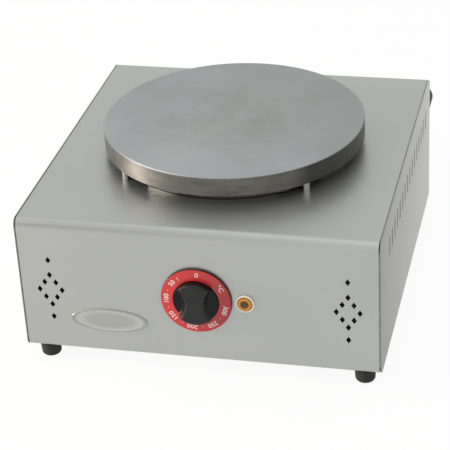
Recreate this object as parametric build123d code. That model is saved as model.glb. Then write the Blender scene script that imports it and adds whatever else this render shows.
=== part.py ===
from build123d import *
import os
from math import cos, pi, radians, sin, sqrt, tan

# Electric crepe maker: a round cast-iron hot plate on four steel pins above a stainless sheet casing, with a
# rotary thermostat and a pilot lamp in the front face. All sizes are in millimetres. +Z is up and the user
# stands at -Y. The origin is on the surface that the feet stand on, in the middle of the footprint.

os.makedirs("parts", exist_ok=True)

# ---------------------------------------------------------------- driving sizes
# casing
BODY_WIDTH = 468.0
BODY_DEPTH = 482.0
BODY_HEIGHT = 190.0
SHEET = 1.2  # stainless sheet of every panel
BEND = 10.0  # outside radius of the cover's bends
SEAM = 1.4  # open seam between neighbouring panels
LEDGE = 14.0  # width of the ledges welded inside the side panels
FRONT_LIP = 14.0  # return of the cover under the front edge
REAR_LIP = 11.5  # return of the cover down the rear
LEDGE_SETBACK = 1.5  # a ledge's end to the bend beside it
# hot plate
PLATE_RADIUS = 175.0
PLATE_THICKNESS = 27.0
PLATE_EDGE = 1.2  # chamfer round the cooking face
PLATE_SETBACK = 245.0  # front face of the casing to the plate's centre
PLATE_LIFT = 12.0  # top of the casing to the plate's rim
RIM_WIDTH = 12.0  # solid rim round the recess in the underside
RECESS_DEPTH = 8.0
BOSS_RADIUS = 16.0
BOSS_DROP = 5.0
RIB_RADIUS = 136.0
RIB_WIDTH = 5.0
RIB_DROP = 5.0
# support pins
PIN_RADIUS = 5.0
PIN_SPIGOT_RADIUS = 3.0
PIN_SPIGOT = 12.0
PIN_ANGLE = 45.0  # first pin, from the right-hand side
PIN_COUNT = 4
# heater
PAN_GAP = 5.0  # plate's rim to the pan's wall
PAN_WALL = 1.0
PAN_DEPTH = 22.0  # top of the casing to the pan's floor
PAN_RISE = 16.0  # top of the casing to the pan's upper edge
PAN_CLEARANCE = 1.5  # pan wall to the casing's opening
PAN_NOTCH_ANGLE = 24.0  # width of the notch in the pan's wall beside each pin
INSULATION_DEPTH = 20.0
ELEMENT_TUBE_RADIUS = 4.25
INNER_LOOP_RADIUS = 60.0
OUTER_LOOP_RADIUS = 110.0
ELEMENT_LEG_GAP = 17.0  # between the two legs of one loop
ELEMENT_BEND = 10.0
ELEMENT_LEG_DROP = 16.0  # pan's floor to the end of a leg
ELEMENT_PIN_RADIUS = 2.0
ELEMENT_PIN = 10.0
CLAMP_REACH = 122.0
CLAMP_WIDTH = 20.0
CLAMP_THICKNESS = 3.0
STUD_RADIUS = 4.0
STUD_DEPTH = 14.0  # stud into the plate
STUD_NUT_FLATS = 13.0
STUD_NUT = 6.5
# bearer rails under the pan
RAIL_WIDTH = 30.0
RAIL_HEIGHT = 18.0
RAIL_SHEET = 1.5
RAIL_TAB = 17.0
RAIL_END_RELIEF = 10.0
# front controls
CONTROL_HEIGHT = 92.0  # underside of the casing to the knob's axis
KNOB_AXIS_X = 0.0
FLANGE_RADIUS = 46.0
FLANGE_THICKNESS = 1.5
FLANGE_GAP = 1.8  # casing to the back of the knob's flange
DIAL_THICKNESS = 1.4
DIAL_RIM_THICKNESS = 0.8
GRIP_RADIUS = 30.0
GRIP_BASE = 3.0
GRIP_RISE = 10.5  # bar above the base
GRIP_WAIST = 22.0
GRIP_SCOOP_RADIUS = 34.0
SHAFT_RADIUS = 3.0
SHAFT_FLAT = 1.5
RUNNING_CLEARANCE = 0.05
INSERT_RADIUS = 5.5
INSERT_LENGTH = 12.0
INSERT_BOTTOM = 1.0  # brass left at the blind end
HUB_WALL = 3.0  # plastic round the insert
GRIP_WALL = 4.0
GRIP_FLOOR = 2.2
GRIP_SCOOP_ROUND = 4.0
THERMOSTAT_WIDTH = 44.0
THERMOSTAT_HEIGHT = 38.0
THERMOSTAT_LENGTH = 30.0
THERMOSTAT_PLATE = 1.5
THERMOSTAT_SCREWS = 28.0  # spacing of the two fixing screws
THERMOSTAT_PLATE_HEIGHT = 20.0
THERMOSTAT_ROUND = 3.0
BUSH_RADIUS = 5.0
BUSH_PROUD = 1.5  # bush beyond the casing's front face
SHAFT_DEPTH = 12.0  # spindle inside the housing
BLADE_WIDTH = 6.3
BLADE_THICKNESS = 0.8
BLADE_LENGTH = 9.0
BLADE_OFFSET_X = 12.0
BLADE_OFFSET_Z = 10.0
BULB_RADIUS = 3.0
BULB_LENGTH = 78.0
BULB_ROUND = 1.2
CLIP_WIDTH = 8.0
CLIP_EAR = 6.0
CLIP_THICKNESS = 1.2
CAPILLARY_RADIUS = 1.0
CAPILLARY_LEAD = 8.0  # bulb's end to the capillary's first bend
CAPILLARY_ENTRY = (10.0, 20.0)  # beside the spindle and behind the housing's front
CAPILLARY_BENDS = [6.0, 12.0, 8.0]
# pilot lamp
LAMP_OFFSET = 62.5  # knob's axis to the lamp's
LAMP_BEZEL_RADIUS = 12.0
LAMP_BEZEL_HEIGHT = 3.2
LAMP_LENS_RADIUS = 9.0
LAMP_LENS_HEIGHT = 4.6
LAMP_BARREL_RADIUS = 6.4
LAMP_BARREL_BORE = 4.9
LAMP_BARREL = 24.0
LAMP_NUT_FLATS = 17.0
LAMP_NUT = 4.0
LAMP_SEAT = 0.6  # bezel left behind the lens
LAMP_STEM = 10.0
LAMP_PLUG = 8.0
LAMP_PLUG_FLANGE = 3.0
LAMP_BLADE_OFFSET = 3.0
# decoration and vents
DIAMOND_WIDTH = 7.0
DIAMOND_HEIGHT = 10.0
DIAMOND_STEP_X = 7.4
DIAMOND_STEP_Z = 10.9
DIAMOND_INSET_X = 41.0  # side of the casing to the pattern's centre line
DIAMOND_CENTRE_Z = 90.0  # above the underside of the casing
DIAMOND_TOP_STEP = 21.9  # ring's top hole to the single hole above
DIAMOND_FOOT_STEP = 18.6
BADGE_INSET_X = 116.0  # left side of the casing to the badge's centre
BADGE_HEIGHT = 50.0  # above the underside of the casing
BADGE_WIDTH = 102.0
BADGE_DEPTH = 34.0
BADGE_THICKNESS = 1.2
BADGE_RIM = 2.6  # width of the raised rim
BADGE_SUNK = 0.5  # rim's crest to the blank field
SLOT_COUNT = 16
SLOT_WIDTH = 4.0
SLOT_LENGTH = 28.0
SLOT_PITCH = 23.8
SLOT_FIRST = 77.0  # front face to the first slot
SLOT_DROP = 45.0  # top of the casing to the middle of a slot
REAR_SLOT_COUNT = 10
BASE_SLOT_COUNT = 9
BASE_SLOT_LENGTH = 60.0
BASE_SLOT_PITCH = 22.0
BASE_SLOT_ROWS = (-95.0, 95.0)
# feet
FOOT_HEIGHT = 22.0
FOOT_RADIUS = 15.0
FOOT_SOLE_RADIUS = 13.0
FOOT_ROUND = 4.5
FOOT_INSET_X = 24.0  # side of the casing to a foot's axis
FOOT_INSET_Y = 22.0
FOOT_BORE_DEPTH = 12.0
FOOT_BORE_GAP = 0.6
# terminal block and earth stud
BLOCK_WIDTH = 44.0
BLOCK_DEPTH = 22.0
BLOCK_HEIGHT = 18.0
BLOCK_INSET_X = 60.0  # side of the casing to the block's centre
BLOCK_INSET_Y = 70.0  # rear of the casing to the block's centre
BLOCK_WAYS = 3
BLOCK_PITCH = 13.0
BLOCK_ROUND = 3.0
BLOCK_WIRE_RADIUS = 2.2
BLOCK_WIRE_HEIGHT = 8.0
BLOCK_WELL_RADIUS = 2.4
BLOCK_WELL_OFFSET = 5.0
BLOCK_SCREW_LENGTH = 6.0
BLOCK_SCREW_SUNK = 1.0
EARTH_INSET = 30.0  # block's centre to the earth stud, toward the front
EARTH_STUD = 14.0
# cable gland
GLAND_INSET_X = 17.5  # right side of the casing to the gland's axis
GLAND_DROP = 49.0  # top of the casing to the gland's axis
GLAND_FLATS = 30.0
GLAND_HEX = 8.0
GLAND_NUT_LENGTH = 38.0
GLAND_NUT_RADIUS = 17.0
GLAND_NOSE_RADIUS = 13.5
GLAND_THREAD_RADIUS = 12.5
GLAND_THREAD = 10.0
GLAND_LOCKNUT = 5.0
GLAND_BORE = 5.0
GLAND_SEAL_RADIUS = 10.0
GLAND_FIT = 0.05  # seal in the body's bore
GLAND_RIBS = 12
GLAND_RIB_RADIUS = 1.9
GLAND_NOSE = 2.5
GLAND_SHOULDER = 7.0
# fasteners
SCREW_RADIUS = 1.6
SCREW_HEAD_RADIUS = 3.4
SCREW_HEAD = 2.0
SCREW_LENGTH = 7.0
SCREW_DRIVE_WIDTH = 0.9
SCREW_DRIVE_DEPTH = 0.8
PANEL_SCREW_HEIGHTS = (20.0, 65.0, 110.0, 168.0)  # rear panel's screws above the underside of the casing
BASE_SCREW_COUNT = 4  # on each side
BASE_SCREW_INSET = 72.0  # front and rear of the casing to the outermost screws
BOLT_RADIUS = 2.5
BOLT_HEAD_RADIUS = 4.4
BOLT_HEAD = 3.4
BOLT_SPARE = 1.0  # thread left beyond a nut
NUT_FLATS = 8.0
NUT = 4.0
PIN_NUT_FLATS = 10.0
PIN_NUT = 5.0
PIN_SPARE = 2.0
HOLE_CLEARANCE = 0.15  # radial, shanks in their holes
TOUCH = 0.3  # gap left where curved faces meet

# ---------------------------------------------------------------- worked-out levels and places
KNOB_REACH = FLANGE_GAP + FLANGE_THICKNESS + GRIP_BASE + GRIP_RISE
GLAND_REACH = GLAND_HEX + GLAND_NUT_LENGTH
front_y = (KNOB_REACH - GLAND_REACH - BODY_DEPTH) / 2
rear_y = front_y + BODY_DEPTH
middle_y = (front_y + rear_y) / 2
base_z = FOOT_HEIGHT
top_z = base_z + BODY_HEIGHT
middle_z = (base_z + top_z) / 2
half_width = BODY_WIDTH / 2
inner_x = half_width - SHEET  # inside face of a side panel
cover_width = 2 * (inner_x - SEAM)

plate_y = front_y + PLATE_SETBACK
rim_z = top_z + PLATE_LIFT
web_z = rim_z + RECESS_DEPTH
plate_top_z = rim_z + PLATE_THICKNESS
pin_circle = PLATE_RADIUS - RIM_WIDTH / 2
pan_radius = PLATE_RADIUS - RIM_WIDTH - PAN_GAP
pin_places = [
    (
        pin_circle * cos(radians(PIN_ANGLE + 360 * n / PIN_COUNT)),
        plate_y + pin_circle * sin(radians(PIN_ANGLE + 360 * n / PIN_COUNT)),
    )
    for n in range(PIN_COUNT)
]

pan_floor_z = top_z - PAN_DEPTH  # underside of the pan
insulation_z = pan_floor_z + PAN_WALL
element_z = web_z - TOUCH - ELEMENT_TUBE_RADIUS
clamp_z = element_z - ELEMENT_TUBE_RADIUS - TOUCH - CLAMP_THICKNESS
rail_top_z = pan_floor_z
rail_offset = pin_circle * sin(radians(PIN_ANGLE))
rail_rows = (plate_y - rail_offset, plate_y + rail_offset)

knob_z = base_z + CONTROL_HEIGHT
flange_y = front_y - FLANGE_GAP  # back of the knob's flange
dial_y = flange_y - FLANGE_THICKNESS
grip_base_y = dial_y - GRIP_BASE
grip_top_y = grip_base_y - GRIP_RISE
inside_front_y = front_y + SHEET
thermostat_y = inside_front_y + THERMOSTAT_PLATE
lamp_x = KNOB_AXIS_X + LAMP_OFFSET
badge_x = BADGE_INSET_X - half_width
gland_x = half_width - GLAND_INSET_X
gland_z = top_z - GLAND_DROP
ledge_y = (inside_front_y, rear_y - SHEET)

foot_places = [
    (sx * (half_width - FOOT_INSET_X), y)
    for y in (front_y + FOOT_INSET_Y, rear_y - FOOT_INSET_Y)
    for sx in (-1, 1)
]
ledge_mid_x = inner_x - LEDGE / 2
rear_screws = [(sx * ledge_mid_x, base_z + h) for sx in (-1, 1) for h in PANEL_SCREW_HEIGHTS]
base_screw_pitch = (BODY_DEPTH - 2 * BASE_SCREW_INSET) / (BASE_SCREW_COUNT - 1)
base_screws = [
    (sx * ledge_mid_x, front_y + BASE_SCREW_INSET + n * base_screw_pitch)
    for sx in (-1, 1)
    for n in range(BASE_SCREW_COUNT)
]
thermostat_screws = [(KNOB_AXIS_X + side * THERMOSTAT_SCREWS / 2, knob_z) for side in (-1, 1)]

loop_radii = {"inner": INNER_LOOP_RADIUS, "outer": OUTER_LOOP_RADIUS}
bulb_y = plate_y - (INNER_LOOP_RADIUS + OUTER_LOOP_RADIUS) / 2
bulb_z = web_z - TOUCH - BULB_RADIUS
capillary_drop = (BULB_LENGTH / 2 + CAPILLARY_LEAD, bulb_y)
capillary_start = (
    KNOB_AXIS_X + CAPILLARY_ENTRY[0],
    thermostat_y + CAPILLARY_ENTRY[1],
    knob_z + THERMOSTAT_HEIGHT / 2,
)

block_x = half_width - BLOCK_INSET_X
block_y = rear_y - BLOCK_INSET_Y
block_z = base_z + SHEET
block_ways = [block_x + (n - (BLOCK_WAYS - 1) / 2) * BLOCK_PITCH for n in range(BLOCK_WAYS)]
block_fixings = [block_x + side * BLOCK_PITCH / 2 for side in (-1, 1)]


# ---------------------------------------------------------------- helpers
def block(x, y, z):
    """A box between two (low, high) pairs on each axis."""
    size = [high - low for low, high in (x, y, z)]
    centre = [(high + low) / 2 for low, high in (x, y, z)]
    return Pos(*centre) * Box(*size)


def post(radius, x, y, z):
    """An upright cylinder between the levels z = (low, high)."""
    return Pos(x, y, (z[0] + z[1]) / 2) * Cylinder(radius, z[1] - z[0])


def rod(radius, x, z, y):
    """A cylinder along Y between y = (front, rear)."""
    return Pos(x, (y[0] + y[1]) / 2, z) * Rot(90, 0, 0) * Cylinder(radius, y[1] - y[0])


def hexagon_post(flats, x, y, z):
    """An upright hexagonal prism, given across its flats."""
    return Pos(x, y, z[0]) * extrude(RegularPolygon(flats / 2, 6, major_radius=False), z[1] - z[0])


def hexagon_rod(flats, x, z, y):
    """A hexagonal prism along Y with upright flats at its left and right."""
    face = Rot(0, 0, 30) * RegularPolygon(flats / 2, 6, major_radius=False)
    return Pos(x, y[1], z) * Rot(90, 0, 0) * extrude(face, y[1] - y[0])


def turned_upright(points, x, y):
    """A solid of revolution about a vertical axis from (radius, height) points."""
    face = Plane.XZ * make_face(Polyline(*points, close=True))
    return Pos(x, y, 0) * revolve(face, Axis.Z)


def turned_forward(points, x, z):
    """A solid of revolution about an axis along Y from (radius, y) points."""
    face = make_face(Polyline(*points, close=True))
    return Pos(x, 0, z) * revolve(face, Axis.Y)


def casing_outline(inset):
    """The casing's outline in the YZ plane with its three bent corners, drawn in by inset."""
    face = Rectangle(BODY_DEPTH - 2 * inset, BODY_HEIGHT - 2 * inset)
    corners = face.vertices()
    rear_foot = max(corners, key=lambda v: v.X - v.Y)
    bent = [v for v in corners if v is not rear_foot]
    return Plane.YZ * Pos(middle_y, middle_z) * fillet(bent, BEND - inset)


def slots_along(count, pitch, first, length, width):
    """Upright slots in a row along the sketch's X axis."""
    one = Rot(0, 0, 90) * SlotOverall(length, width)
    return Sketch() + [Pos(first + n * pitch, 0) * one for n in range(count)]


def screw(x, y, z, toward, length=SCREW_LENGTH):
    """A pan-head screw with the underside of its head at (x, y, z), its shank pointing toward a direction."""
    shank = Pos(0, 0, length / 2) * Cylinder(SCREW_RADIUS, length)
    head = Pos(0, 0, -SCREW_HEAD / 2) * Cylinder(SCREW_HEAD_RADIUS, SCREW_HEAD)
    head = fillet(head.edges().sort_by(Axis.Z)[0], SCREW_HEAD * 0.55)
    arm = Box(SCREW_HEAD_RADIUS, SCREW_DRIVE_WIDTH, 2 * SCREW_DRIVE_DEPTH)
    drive = Pos(0, 0, -SCREW_HEAD) * (arm + Rot(0, 0, 90) * arm)
    return Plane(origin=(x, y, z), z_dir=toward) * (shank + head - drive)


def save(name, *solids):
    """Writes one node, made of one or more separate solids."""
    shape = solids[0] if len(solids) == 1 else Compound(children=list(solids))
    export_step(shape, f"parts/{name}.step")


# ---------------------------------------------------------------- casing
def diamond_pattern(x):
    """Eight diamond holes in a ring, with one more above and one below."""
    centre_z = base_z + DIAMOND_CENTRE_Z
    places = []
    for step in range(3):
        for side in (-1, 1):
            for up in (-1, 1):
                places.append((side * step * DIAMOND_STEP_X, up * (2 - step) * DIAMOND_STEP_Z))
    places.append((0, 2 * DIAMOND_STEP_Z + DIAMOND_TOP_STEP))
    places.append((0, -2 * DIAMOND_STEP_Z - DIAMOND_FOOT_STEP))
    w, h = DIAMOND_WIDTH / 2, DIAMOND_HEIGHT / 2
    diamond = make_face(Polyline((-w, 0), (0, -h), (w, 0), (0, h), close=True))
    holes = Sketch() + [Pos(px, pz) * diamond for px, pz in sorted(set(places))]
    return Pos(x, front_y, centre_z) * extrude(Plane.XZ * holes, SHEET * 2, both=True)


def front_top_cover():
    """One bent sheet: lip under the front, front face, top and a short lip down the rear."""
    profile = casing_outline(0) - casing_outline(SHEET)
    sheet = extrude(profile, cover_width / 2, both=True)
    sheet -= block(
        (-BODY_WIDTH, BODY_WIDTH),
        (front_y + FRONT_LIP, rear_y + SHEET),
        (base_z - SHEET, top_z - REAR_LIP),
    )
    sheet -= post(pan_radius + PAN_CLEARANCE, 0, plate_y, (top_z - 2 * SHEET, top_z + SHEET))
    for x, y in pin_places:
        sheet -= post(PIN_RADIUS + TOUCH, x, y, (top_z - 2 * SHEET, top_z + SHEET))
    through = (front_y - SHEET, front_y + 2 * SHEET)
    sheet -= rod(BUSH_RADIUS + HOLE_CLEARANCE, KNOB_AXIS_X, knob_z, through)
    for x, z in thermostat_screws:
        sheet -= rod(SCREW_RADIUS + HOLE_CLEARANCE, x, z, through)
    sheet -= rod(LAMP_BARREL_RADIUS + HOLE_CLEARANCE, lamp_x, knob_z, through)
    for x in (DIAMOND_INSET_X - half_width, half_width - DIAMOND_INSET_X):
        sheet -= diamond_pattern(x)
    return sheet


def side_panel(side):
    """A flat side with its row of vent slots and the ledges that the other panels are screwed to."""
    wall = Pos(side * inner_x, 0, 0) * extrude(casing_outline(0), side * SHEET)
    row = slots_along(SLOT_COUNT, SLOT_PITCH, front_y + SLOT_FIRST, SLOT_LENGTH, SLOT_WIDTH)
    wall -= Pos(side * inner_x, 0, top_z - SLOT_DROP) * extrude(Plane.YZ * row, 2 * SHEET, both=True)
    x = sorted((side * (inner_x - LEDGE), side * inner_x))
    clear = BEND + LEDGE_SETBACK
    long_y = (front_y + clear, rear_y - clear)
    tall_z = (base_z + clear, top_z - clear)
    wall += block(x, long_y, (top_z - 2 * SHEET, top_z - SHEET))
    wall += block(x, (ledge_y[0], ledge_y[0] + SHEET), tall_z)
    wall += block(x, (front_y + clear, ledge_y[1]), (base_z + SHEET, base_z + 2 * SHEET))
    rear_ledge = block(x, (ledge_y[1] - SHEET, ledge_y[1]), (base_z + SHEET, top_z - clear))
    if side > 0:
        room = GLAND_FLATS / sqrt(3) + SEAM
        rear_ledge -= block(
            (gland_x - room, inner_x), (ledge_y[1] - 2 * SHEET, rear_y), (gland_z - room, gland_z + room)
        )
    wall += rear_ledge
    for sx, z in rear_screws:
        if sx * side > 0:
            wall -= rod(SCREW_RADIUS + HOLE_CLEARANCE, sx, z, (rear_y - 4 * SHEET, rear_y))
    for sx, y in base_screws:
        if sx * side > 0:
            wall -= post(SCREW_RADIUS + HOLE_CLEARANCE, sx, y, (base_z, base_z + 4 * SHEET))
    return wall


def back_panel():
    """The rear sheet with a vent row and the hole for the cable gland."""
    sheet = block(
        (-cover_width / 2, cover_width / 2),
        (rear_y - SHEET, rear_y),
        (base_z, top_z - REAR_LIP - SEAM),
    )
    first = -SLOT_PITCH * (REAR_SLOT_COUNT - 1) / 2
    row = slots_along(REAR_SLOT_COUNT, SLOT_PITCH, first, SLOT_LENGTH, SLOT_WIDTH)
    sheet -= Pos(0, rear_y, top_z - SLOT_DROP) * extrude(Plane.XZ * row, 2 * SHEET, both=True)
    through = (rear_y - 2 * SHEET, rear_y + SHEET)
    sheet -= rod(GLAND_THREAD_RADIUS + HOLE_CLEARANCE, gland_x, gland_z, through)
    for x, z in rear_screws:
        sheet -= rod(SCREW_RADIUS + HOLE_CLEARANCE, x, z, through)
    return sheet


def base_plate():
    """The bottom sheet with two rows of vent slots, the feet's holes and its screw holes."""
    sheet = block(
        (-cover_width / 2, cover_width / 2),
        (front_y + FRONT_LIP + SEAM, rear_y - SHEET - TOUCH),
        (base_z, base_z + SHEET),
    )
    first = -BASE_SLOT_PITCH * (BASE_SLOT_COUNT - 1) / 2
    row = slots_along(BASE_SLOT_COUNT, BASE_SLOT_PITCH, first, BASE_SLOT_LENGTH, SLOT_WIDTH)
    for offset in BASE_SLOT_ROWS:
        sheet -= Pos(0, middle_y + offset, base_z) * extrude(row, 2 * SHEET, both=True)
    for x, y in foot_places:
        sheet -= post(BOLT_RADIUS + HOLE_CLEARANCE, x, y, (base_z - SHEET, base_z + 2 * SHEET))
    for x, y in base_screws + [(x, block_y) for x in block_fixings]:
        sheet -= post(SCREW_RADIUS + HOLE_CLEARANCE, x, y, (base_z - SHEET, base_z + 2 * SHEET))
    return sheet


def badge():
    """A blank oval plate on the front face, with a raised rim whose edge is softened."""
    oval = Plane.XZ * Ellipse(BADGE_WIDTH / 2, BADGE_DEPTH / 2)
    field = Plane.XZ * Ellipse(BADGE_WIDTH / 2 - BADGE_RIM, BADGE_DEPTH / 2 - BADGE_RIM)
    plate = extrude(oval, BADGE_THICKNESS)
    plate = chamfer(plate.edges().sort_by(Axis.Y)[0], BADGE_THICKNESS * 0.6)
    plate -= Pos(0, BADGE_SUNK - BADGE_THICKNESS, 0) * extrude(field, BADGE_THICKNESS)
    return Pos(badge_x, front_y, base_z + BADGE_HEIGHT) * plate


# ---------------------------------------------------------------- hot plate and heater
def hot_plate():
    """The cast-iron plate: flat cooking face, deep rim, recessed underside with a boss and a ring rib."""
    inner = PLATE_RADIUS - RIM_WIDTH
    edge = PLATE_EDGE
    points = [
        (0, plate_top_z),
        (PLATE_RADIUS - edge, plate_top_z),
        (PLATE_RADIUS, plate_top_z - edge),
        (PLATE_RADIUS, rim_z + edge),
        (PLATE_RADIUS - edge, rim_z),
        (inner, rim_z),
        (inner - 2, web_z),
        (RIB_RADIUS + RIB_WIDTH / 2, web_z),
        (RIB_RADIUS + RIB_WIDTH / 2 - 1, web_z - RIB_DROP),
        (RIB_RADIUS - RIB_WIDTH / 2 + 1, web_z - RIB_DROP),
        (RIB_RADIUS - RIB_WIDTH / 2, web_z),
        (BOSS_RADIUS + 2, web_z),
        (BOSS_RADIUS, web_z - BOSS_DROP),
        (0, web_z - BOSS_DROP),
    ]
    casting = turned_upright(points, 0, plate_y)
    for x, y in pin_places:
        casting -= post(PIN_SPIGOT_RADIUS + HOLE_CLEARANCE, x, y, (rim_z, rim_z + PIN_SPIGOT + 1))
    stud_hole_z = web_z - BOSS_DROP
    casting -= post(STUD_RADIUS + HOLE_CLEARANCE, 0, plate_y, (stud_hole_z, stud_hole_z + STUD_DEPTH + 1))
    return casting


def support_pin(x, y):
    """A turned steel pin from the bearer rail up to the plate's rim, with a spigot at each end."""
    shoulder = post(PIN_RADIUS, x, y, (rail_top_z, rim_z))
    upper = post(PIN_SPIGOT_RADIUS, x, y, (rim_z, rim_z + PIN_SPIGOT))
    lower = post(PIN_SPIGOT_RADIUS, x, y, (rail_top_z - RAIL_SHEET - PIN_NUT - PIN_SPARE, rail_top_z))
    return shoulder + upper + lower


def pin_nut(x, y):
    """The nut that holds a support pin under its rail."""
    z = (rail_top_z - RAIL_SHEET - PIN_NUT, rail_top_z - RAIL_SHEET)
    return hexagon_post(PIN_NUT_FLATS, x, y, z) - post(PIN_SPIGOT_RADIUS + HOLE_CLEARANCE, x, y, z)


def loop_end(radius):
    """Where a loop's ring ends, its tangent there and the top of the leg below, about the loop's centre."""
    across = ELEMENT_LEG_GAP / 2 + ELEMENT_BEND
    start = Vector(sqrt(radius**2 - across**2), across, 0)
    tangent = Vector(-start.Y / radius, start.X / radius, 0)
    leg_top = start - tangent * ELEMENT_BEND - Vector(0, 0, ELEMENT_BEND)
    return start, tangent, leg_top


def leg_places(radius):
    """The two upright legs of one heating loop, at the right-hand side of the plate."""
    leg = loop_end(radius)[2]
    return [(leg.X, plate_y + side * leg.Y) for side in (-1, 1)]


def heater_pan():
    """A shallow steel pan that holds the insulation; its wall is notched beside each support pin."""
    outer, inner = pan_radius, pan_radius - PAN_WALL
    pan = post(outer, 0, plate_y, (pan_floor_z, top_z + PAN_RISE))
    pan -= post(inner, 0, plate_y, (insulation_z, top_z + PAN_RISE + 1))
    reach = pan_radius * 1.2
    half = radians(PAN_NOTCH_ANGLE / 2)
    for n in range(PIN_COUNT):
        wedge = make_face(
            Polyline((0, 0), (reach, -reach * tan(half)), (reach, reach * tan(half)), close=True)
        )
        wedge = Rot(0, 0, PIN_ANGLE + 360 * n / PIN_COUNT) * wedge
        wedge -= Circle(inner - PAN_WALL)
        pan -= Pos(0, plate_y, top_z) * extrude(wedge, PAN_RISE + 1)
    for radius in loop_radii.values():
        for x, y in leg_places(radius):
            pan -= post(ELEMENT_TUBE_RADIUS + 1, x, y, (pan_floor_z - 1, insulation_z + 1))
    pan -= post(STUD_RADIUS + HOLE_CLEARANCE, 0, plate_y, (pan_floor_z - 1, insulation_z + 1))
    x, y = capillary_drop
    pan -= post(CAPILLARY_RADIUS + 1, x, y, (pan_floor_z - 1, insulation_z + 1))
    return pan


def insulation():
    """The ceramic-fibre disc in the pan, with holes for the legs, the stud and the capillary."""
    z = (insulation_z, insulation_z + INSULATION_DEPTH)
    disc = post(pan_radius - PAN_WALL - TOUCH, 0, plate_y, z)
    for radius in loop_radii.values():
        for x, y in leg_places(radius):
            disc -= post(ELEMENT_TUBE_RADIUS + TOUCH, x, y, z)
    disc -= post(STUD_RADIUS + TOUCH, 0, plate_y, z)
    x, y = capillary_drop
    return disc - post(CAPILLARY_RADIUS + TOUCH, x, y, z)


def heating_element(radius):
    """A tubular loop with both ends bent down through the pan into short terminal pins."""
    start, tangent, leg_top = loop_end(radius)
    up = Vector(0, 0, 1)
    bend_middle = leg_top + tangent * ELEMENT_BEND + (up - tangent) * (ELEMENT_BEND / sqrt(2))
    leg_foot = Vector(leg_top.X, leg_top.Y, pan_floor_z - ELEMENT_LEG_DROP - element_z)

    def mirrored(point):
        return Vector(point.X, -point.Y, point.Z)

    path = Wire(
        [
            Line(leg_foot, leg_top),
            ThreePointArc(leg_top, bend_middle, start),
            ThreePointArc(start, Vector(-radius, 0, 0), mirrored(start)),
            ThreePointArc(mirrored(start), mirrored(bend_middle), mirrored(leg_top)),
            Line(mirrored(leg_top), mirrored(leg_foot)),
        ]
    )
    tube = sweep(Plane(origin=leg_foot, z_dir=up) * Circle(ELEMENT_TUBE_RADIUS), path=path)
    for foot in (leg_foot, mirrored(leg_foot)):
        tube += post(ELEMENT_PIN_RADIUS, foot.X, foot.Y, (foot.Z - ELEMENT_PIN, foot.Z))
    return Pos(0, plate_y, element_z) * tube


def element_clamp():
    """A steel cross that presses both loops against the plate."""
    z = (clamp_z, clamp_z + CLAMP_THICKNESS)
    bar = SlotOverall(2 * CLAMP_REACH, CLAMP_WIDTH)
    cross = Rot(0, 0, PIN_ANGLE) * bar + Rot(0, 0, PIN_ANGLE + 90) * bar
    cross = Pos(0, plate_y, z[0]) * extrude(cross, CLAMP_THICKNESS)
    return cross - post(STUD_RADIUS + HOLE_CLEARANCE, 0, plate_y, z)


def centre_stud():
    """The stud from the plate's boss down through the clamp, the insulation and the pan."""
    return post(STUD_RADIUS, 0, plate_y, (pan_floor_z - STUD_NUT - 3, web_z - BOSS_DROP + STUD_DEPTH))


def stud_nuts():
    """One nut under the clamp and one under the pan."""
    made = []
    for top in (clamp_z, pan_floor_z):
        z = (top - STUD_NUT, top)
        nut = hexagon_post(STUD_NUT_FLATS, 0, plate_y, z)
        made.append(nut - post(STUD_RADIUS + HOLE_CLEARANCE, 0, plate_y, z))
    return made


def bearer_rail(y):
    """A channel from side to side under the pan, open downward, with an upturned tab at each end."""
    half = RAIL_WIDTH / 2
    walls_x = (-(inner_x - RAIL_END_RELIEF), inner_x - RAIL_END_RELIEF)
    rail = block((-inner_x, inner_x), (y - half, y + half), (rail_top_z - RAIL_SHEET, rail_top_z))
    for side in (-1, 1):
        wall_y = sorted((y + side * half, y + side * (half - RAIL_SHEET)))
        rail += block(walls_x, wall_y, (rail_top_z - RAIL_HEIGHT, rail_top_z))
        tab_x = sorted((side * inner_x, side * (inner_x - RAIL_SHEET)))
        rail += block(tab_x, (y - half, y + half), (rail_top_z - RAIL_SHEET, rail_top_z + RAIL_TAB))
    for x, pin_y in pin_places:
        rail -= post(PIN_SPIGOT_RADIUS + HOLE_CLEARANCE, x, pin_y, (rail_top_z - RAIL_SHEET, rail_top_z))
    return rail


# ---------------------------------------------------------------- controls
def knob_grip():
    """The black knob: thin flange, round base and a waisted grip bar across it."""
    points = [
        (0, flange_y),
        (FLANGE_RADIUS, flange_y),
        (FLANGE_RADIUS, dial_y + 0.6),
        (FLANGE_RADIUS - 0.6, dial_y),
        (GRIP_RADIUS, dial_y),
        (GRIP_RADIUS - 1, grip_top_y + 2),
        (GRIP_RADIUS - 3, grip_top_y),
        (0, grip_top_y),
    ]
    knob = turned_forward(points, KNOB_AXIS_X, knob_z)
    for side in (-1, 1):
        centre = KNOB_AXIS_X + side * (GRIP_WAIST / 2 + GRIP_SCOOP_RADIUS)
        scoop = rod(GRIP_SCOOP_RADIUS, centre, knob_z, (grip_top_y - 1, grip_base_y))
        knob -= fillet(scoop.edges().sort_by(Axis.Y)[-1], GRIP_SCOOP_ROUND)
    inside = (grip_base_y + GRIP_FLOOR, flange_y)
    recess = rod(GRIP_RADIUS - GRIP_WALL, KNOB_AXIS_X, knob_z, inside)
    recess -= rod(INSERT_RADIUS + HUB_WALL, KNOB_AXIS_X, knob_z, inside)
    return knob - recess - rod(INSERT_RADIUS, KNOB_AXIS_X, knob_z, (flange_y - INSERT_LENGTH, flange_y))


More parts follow.
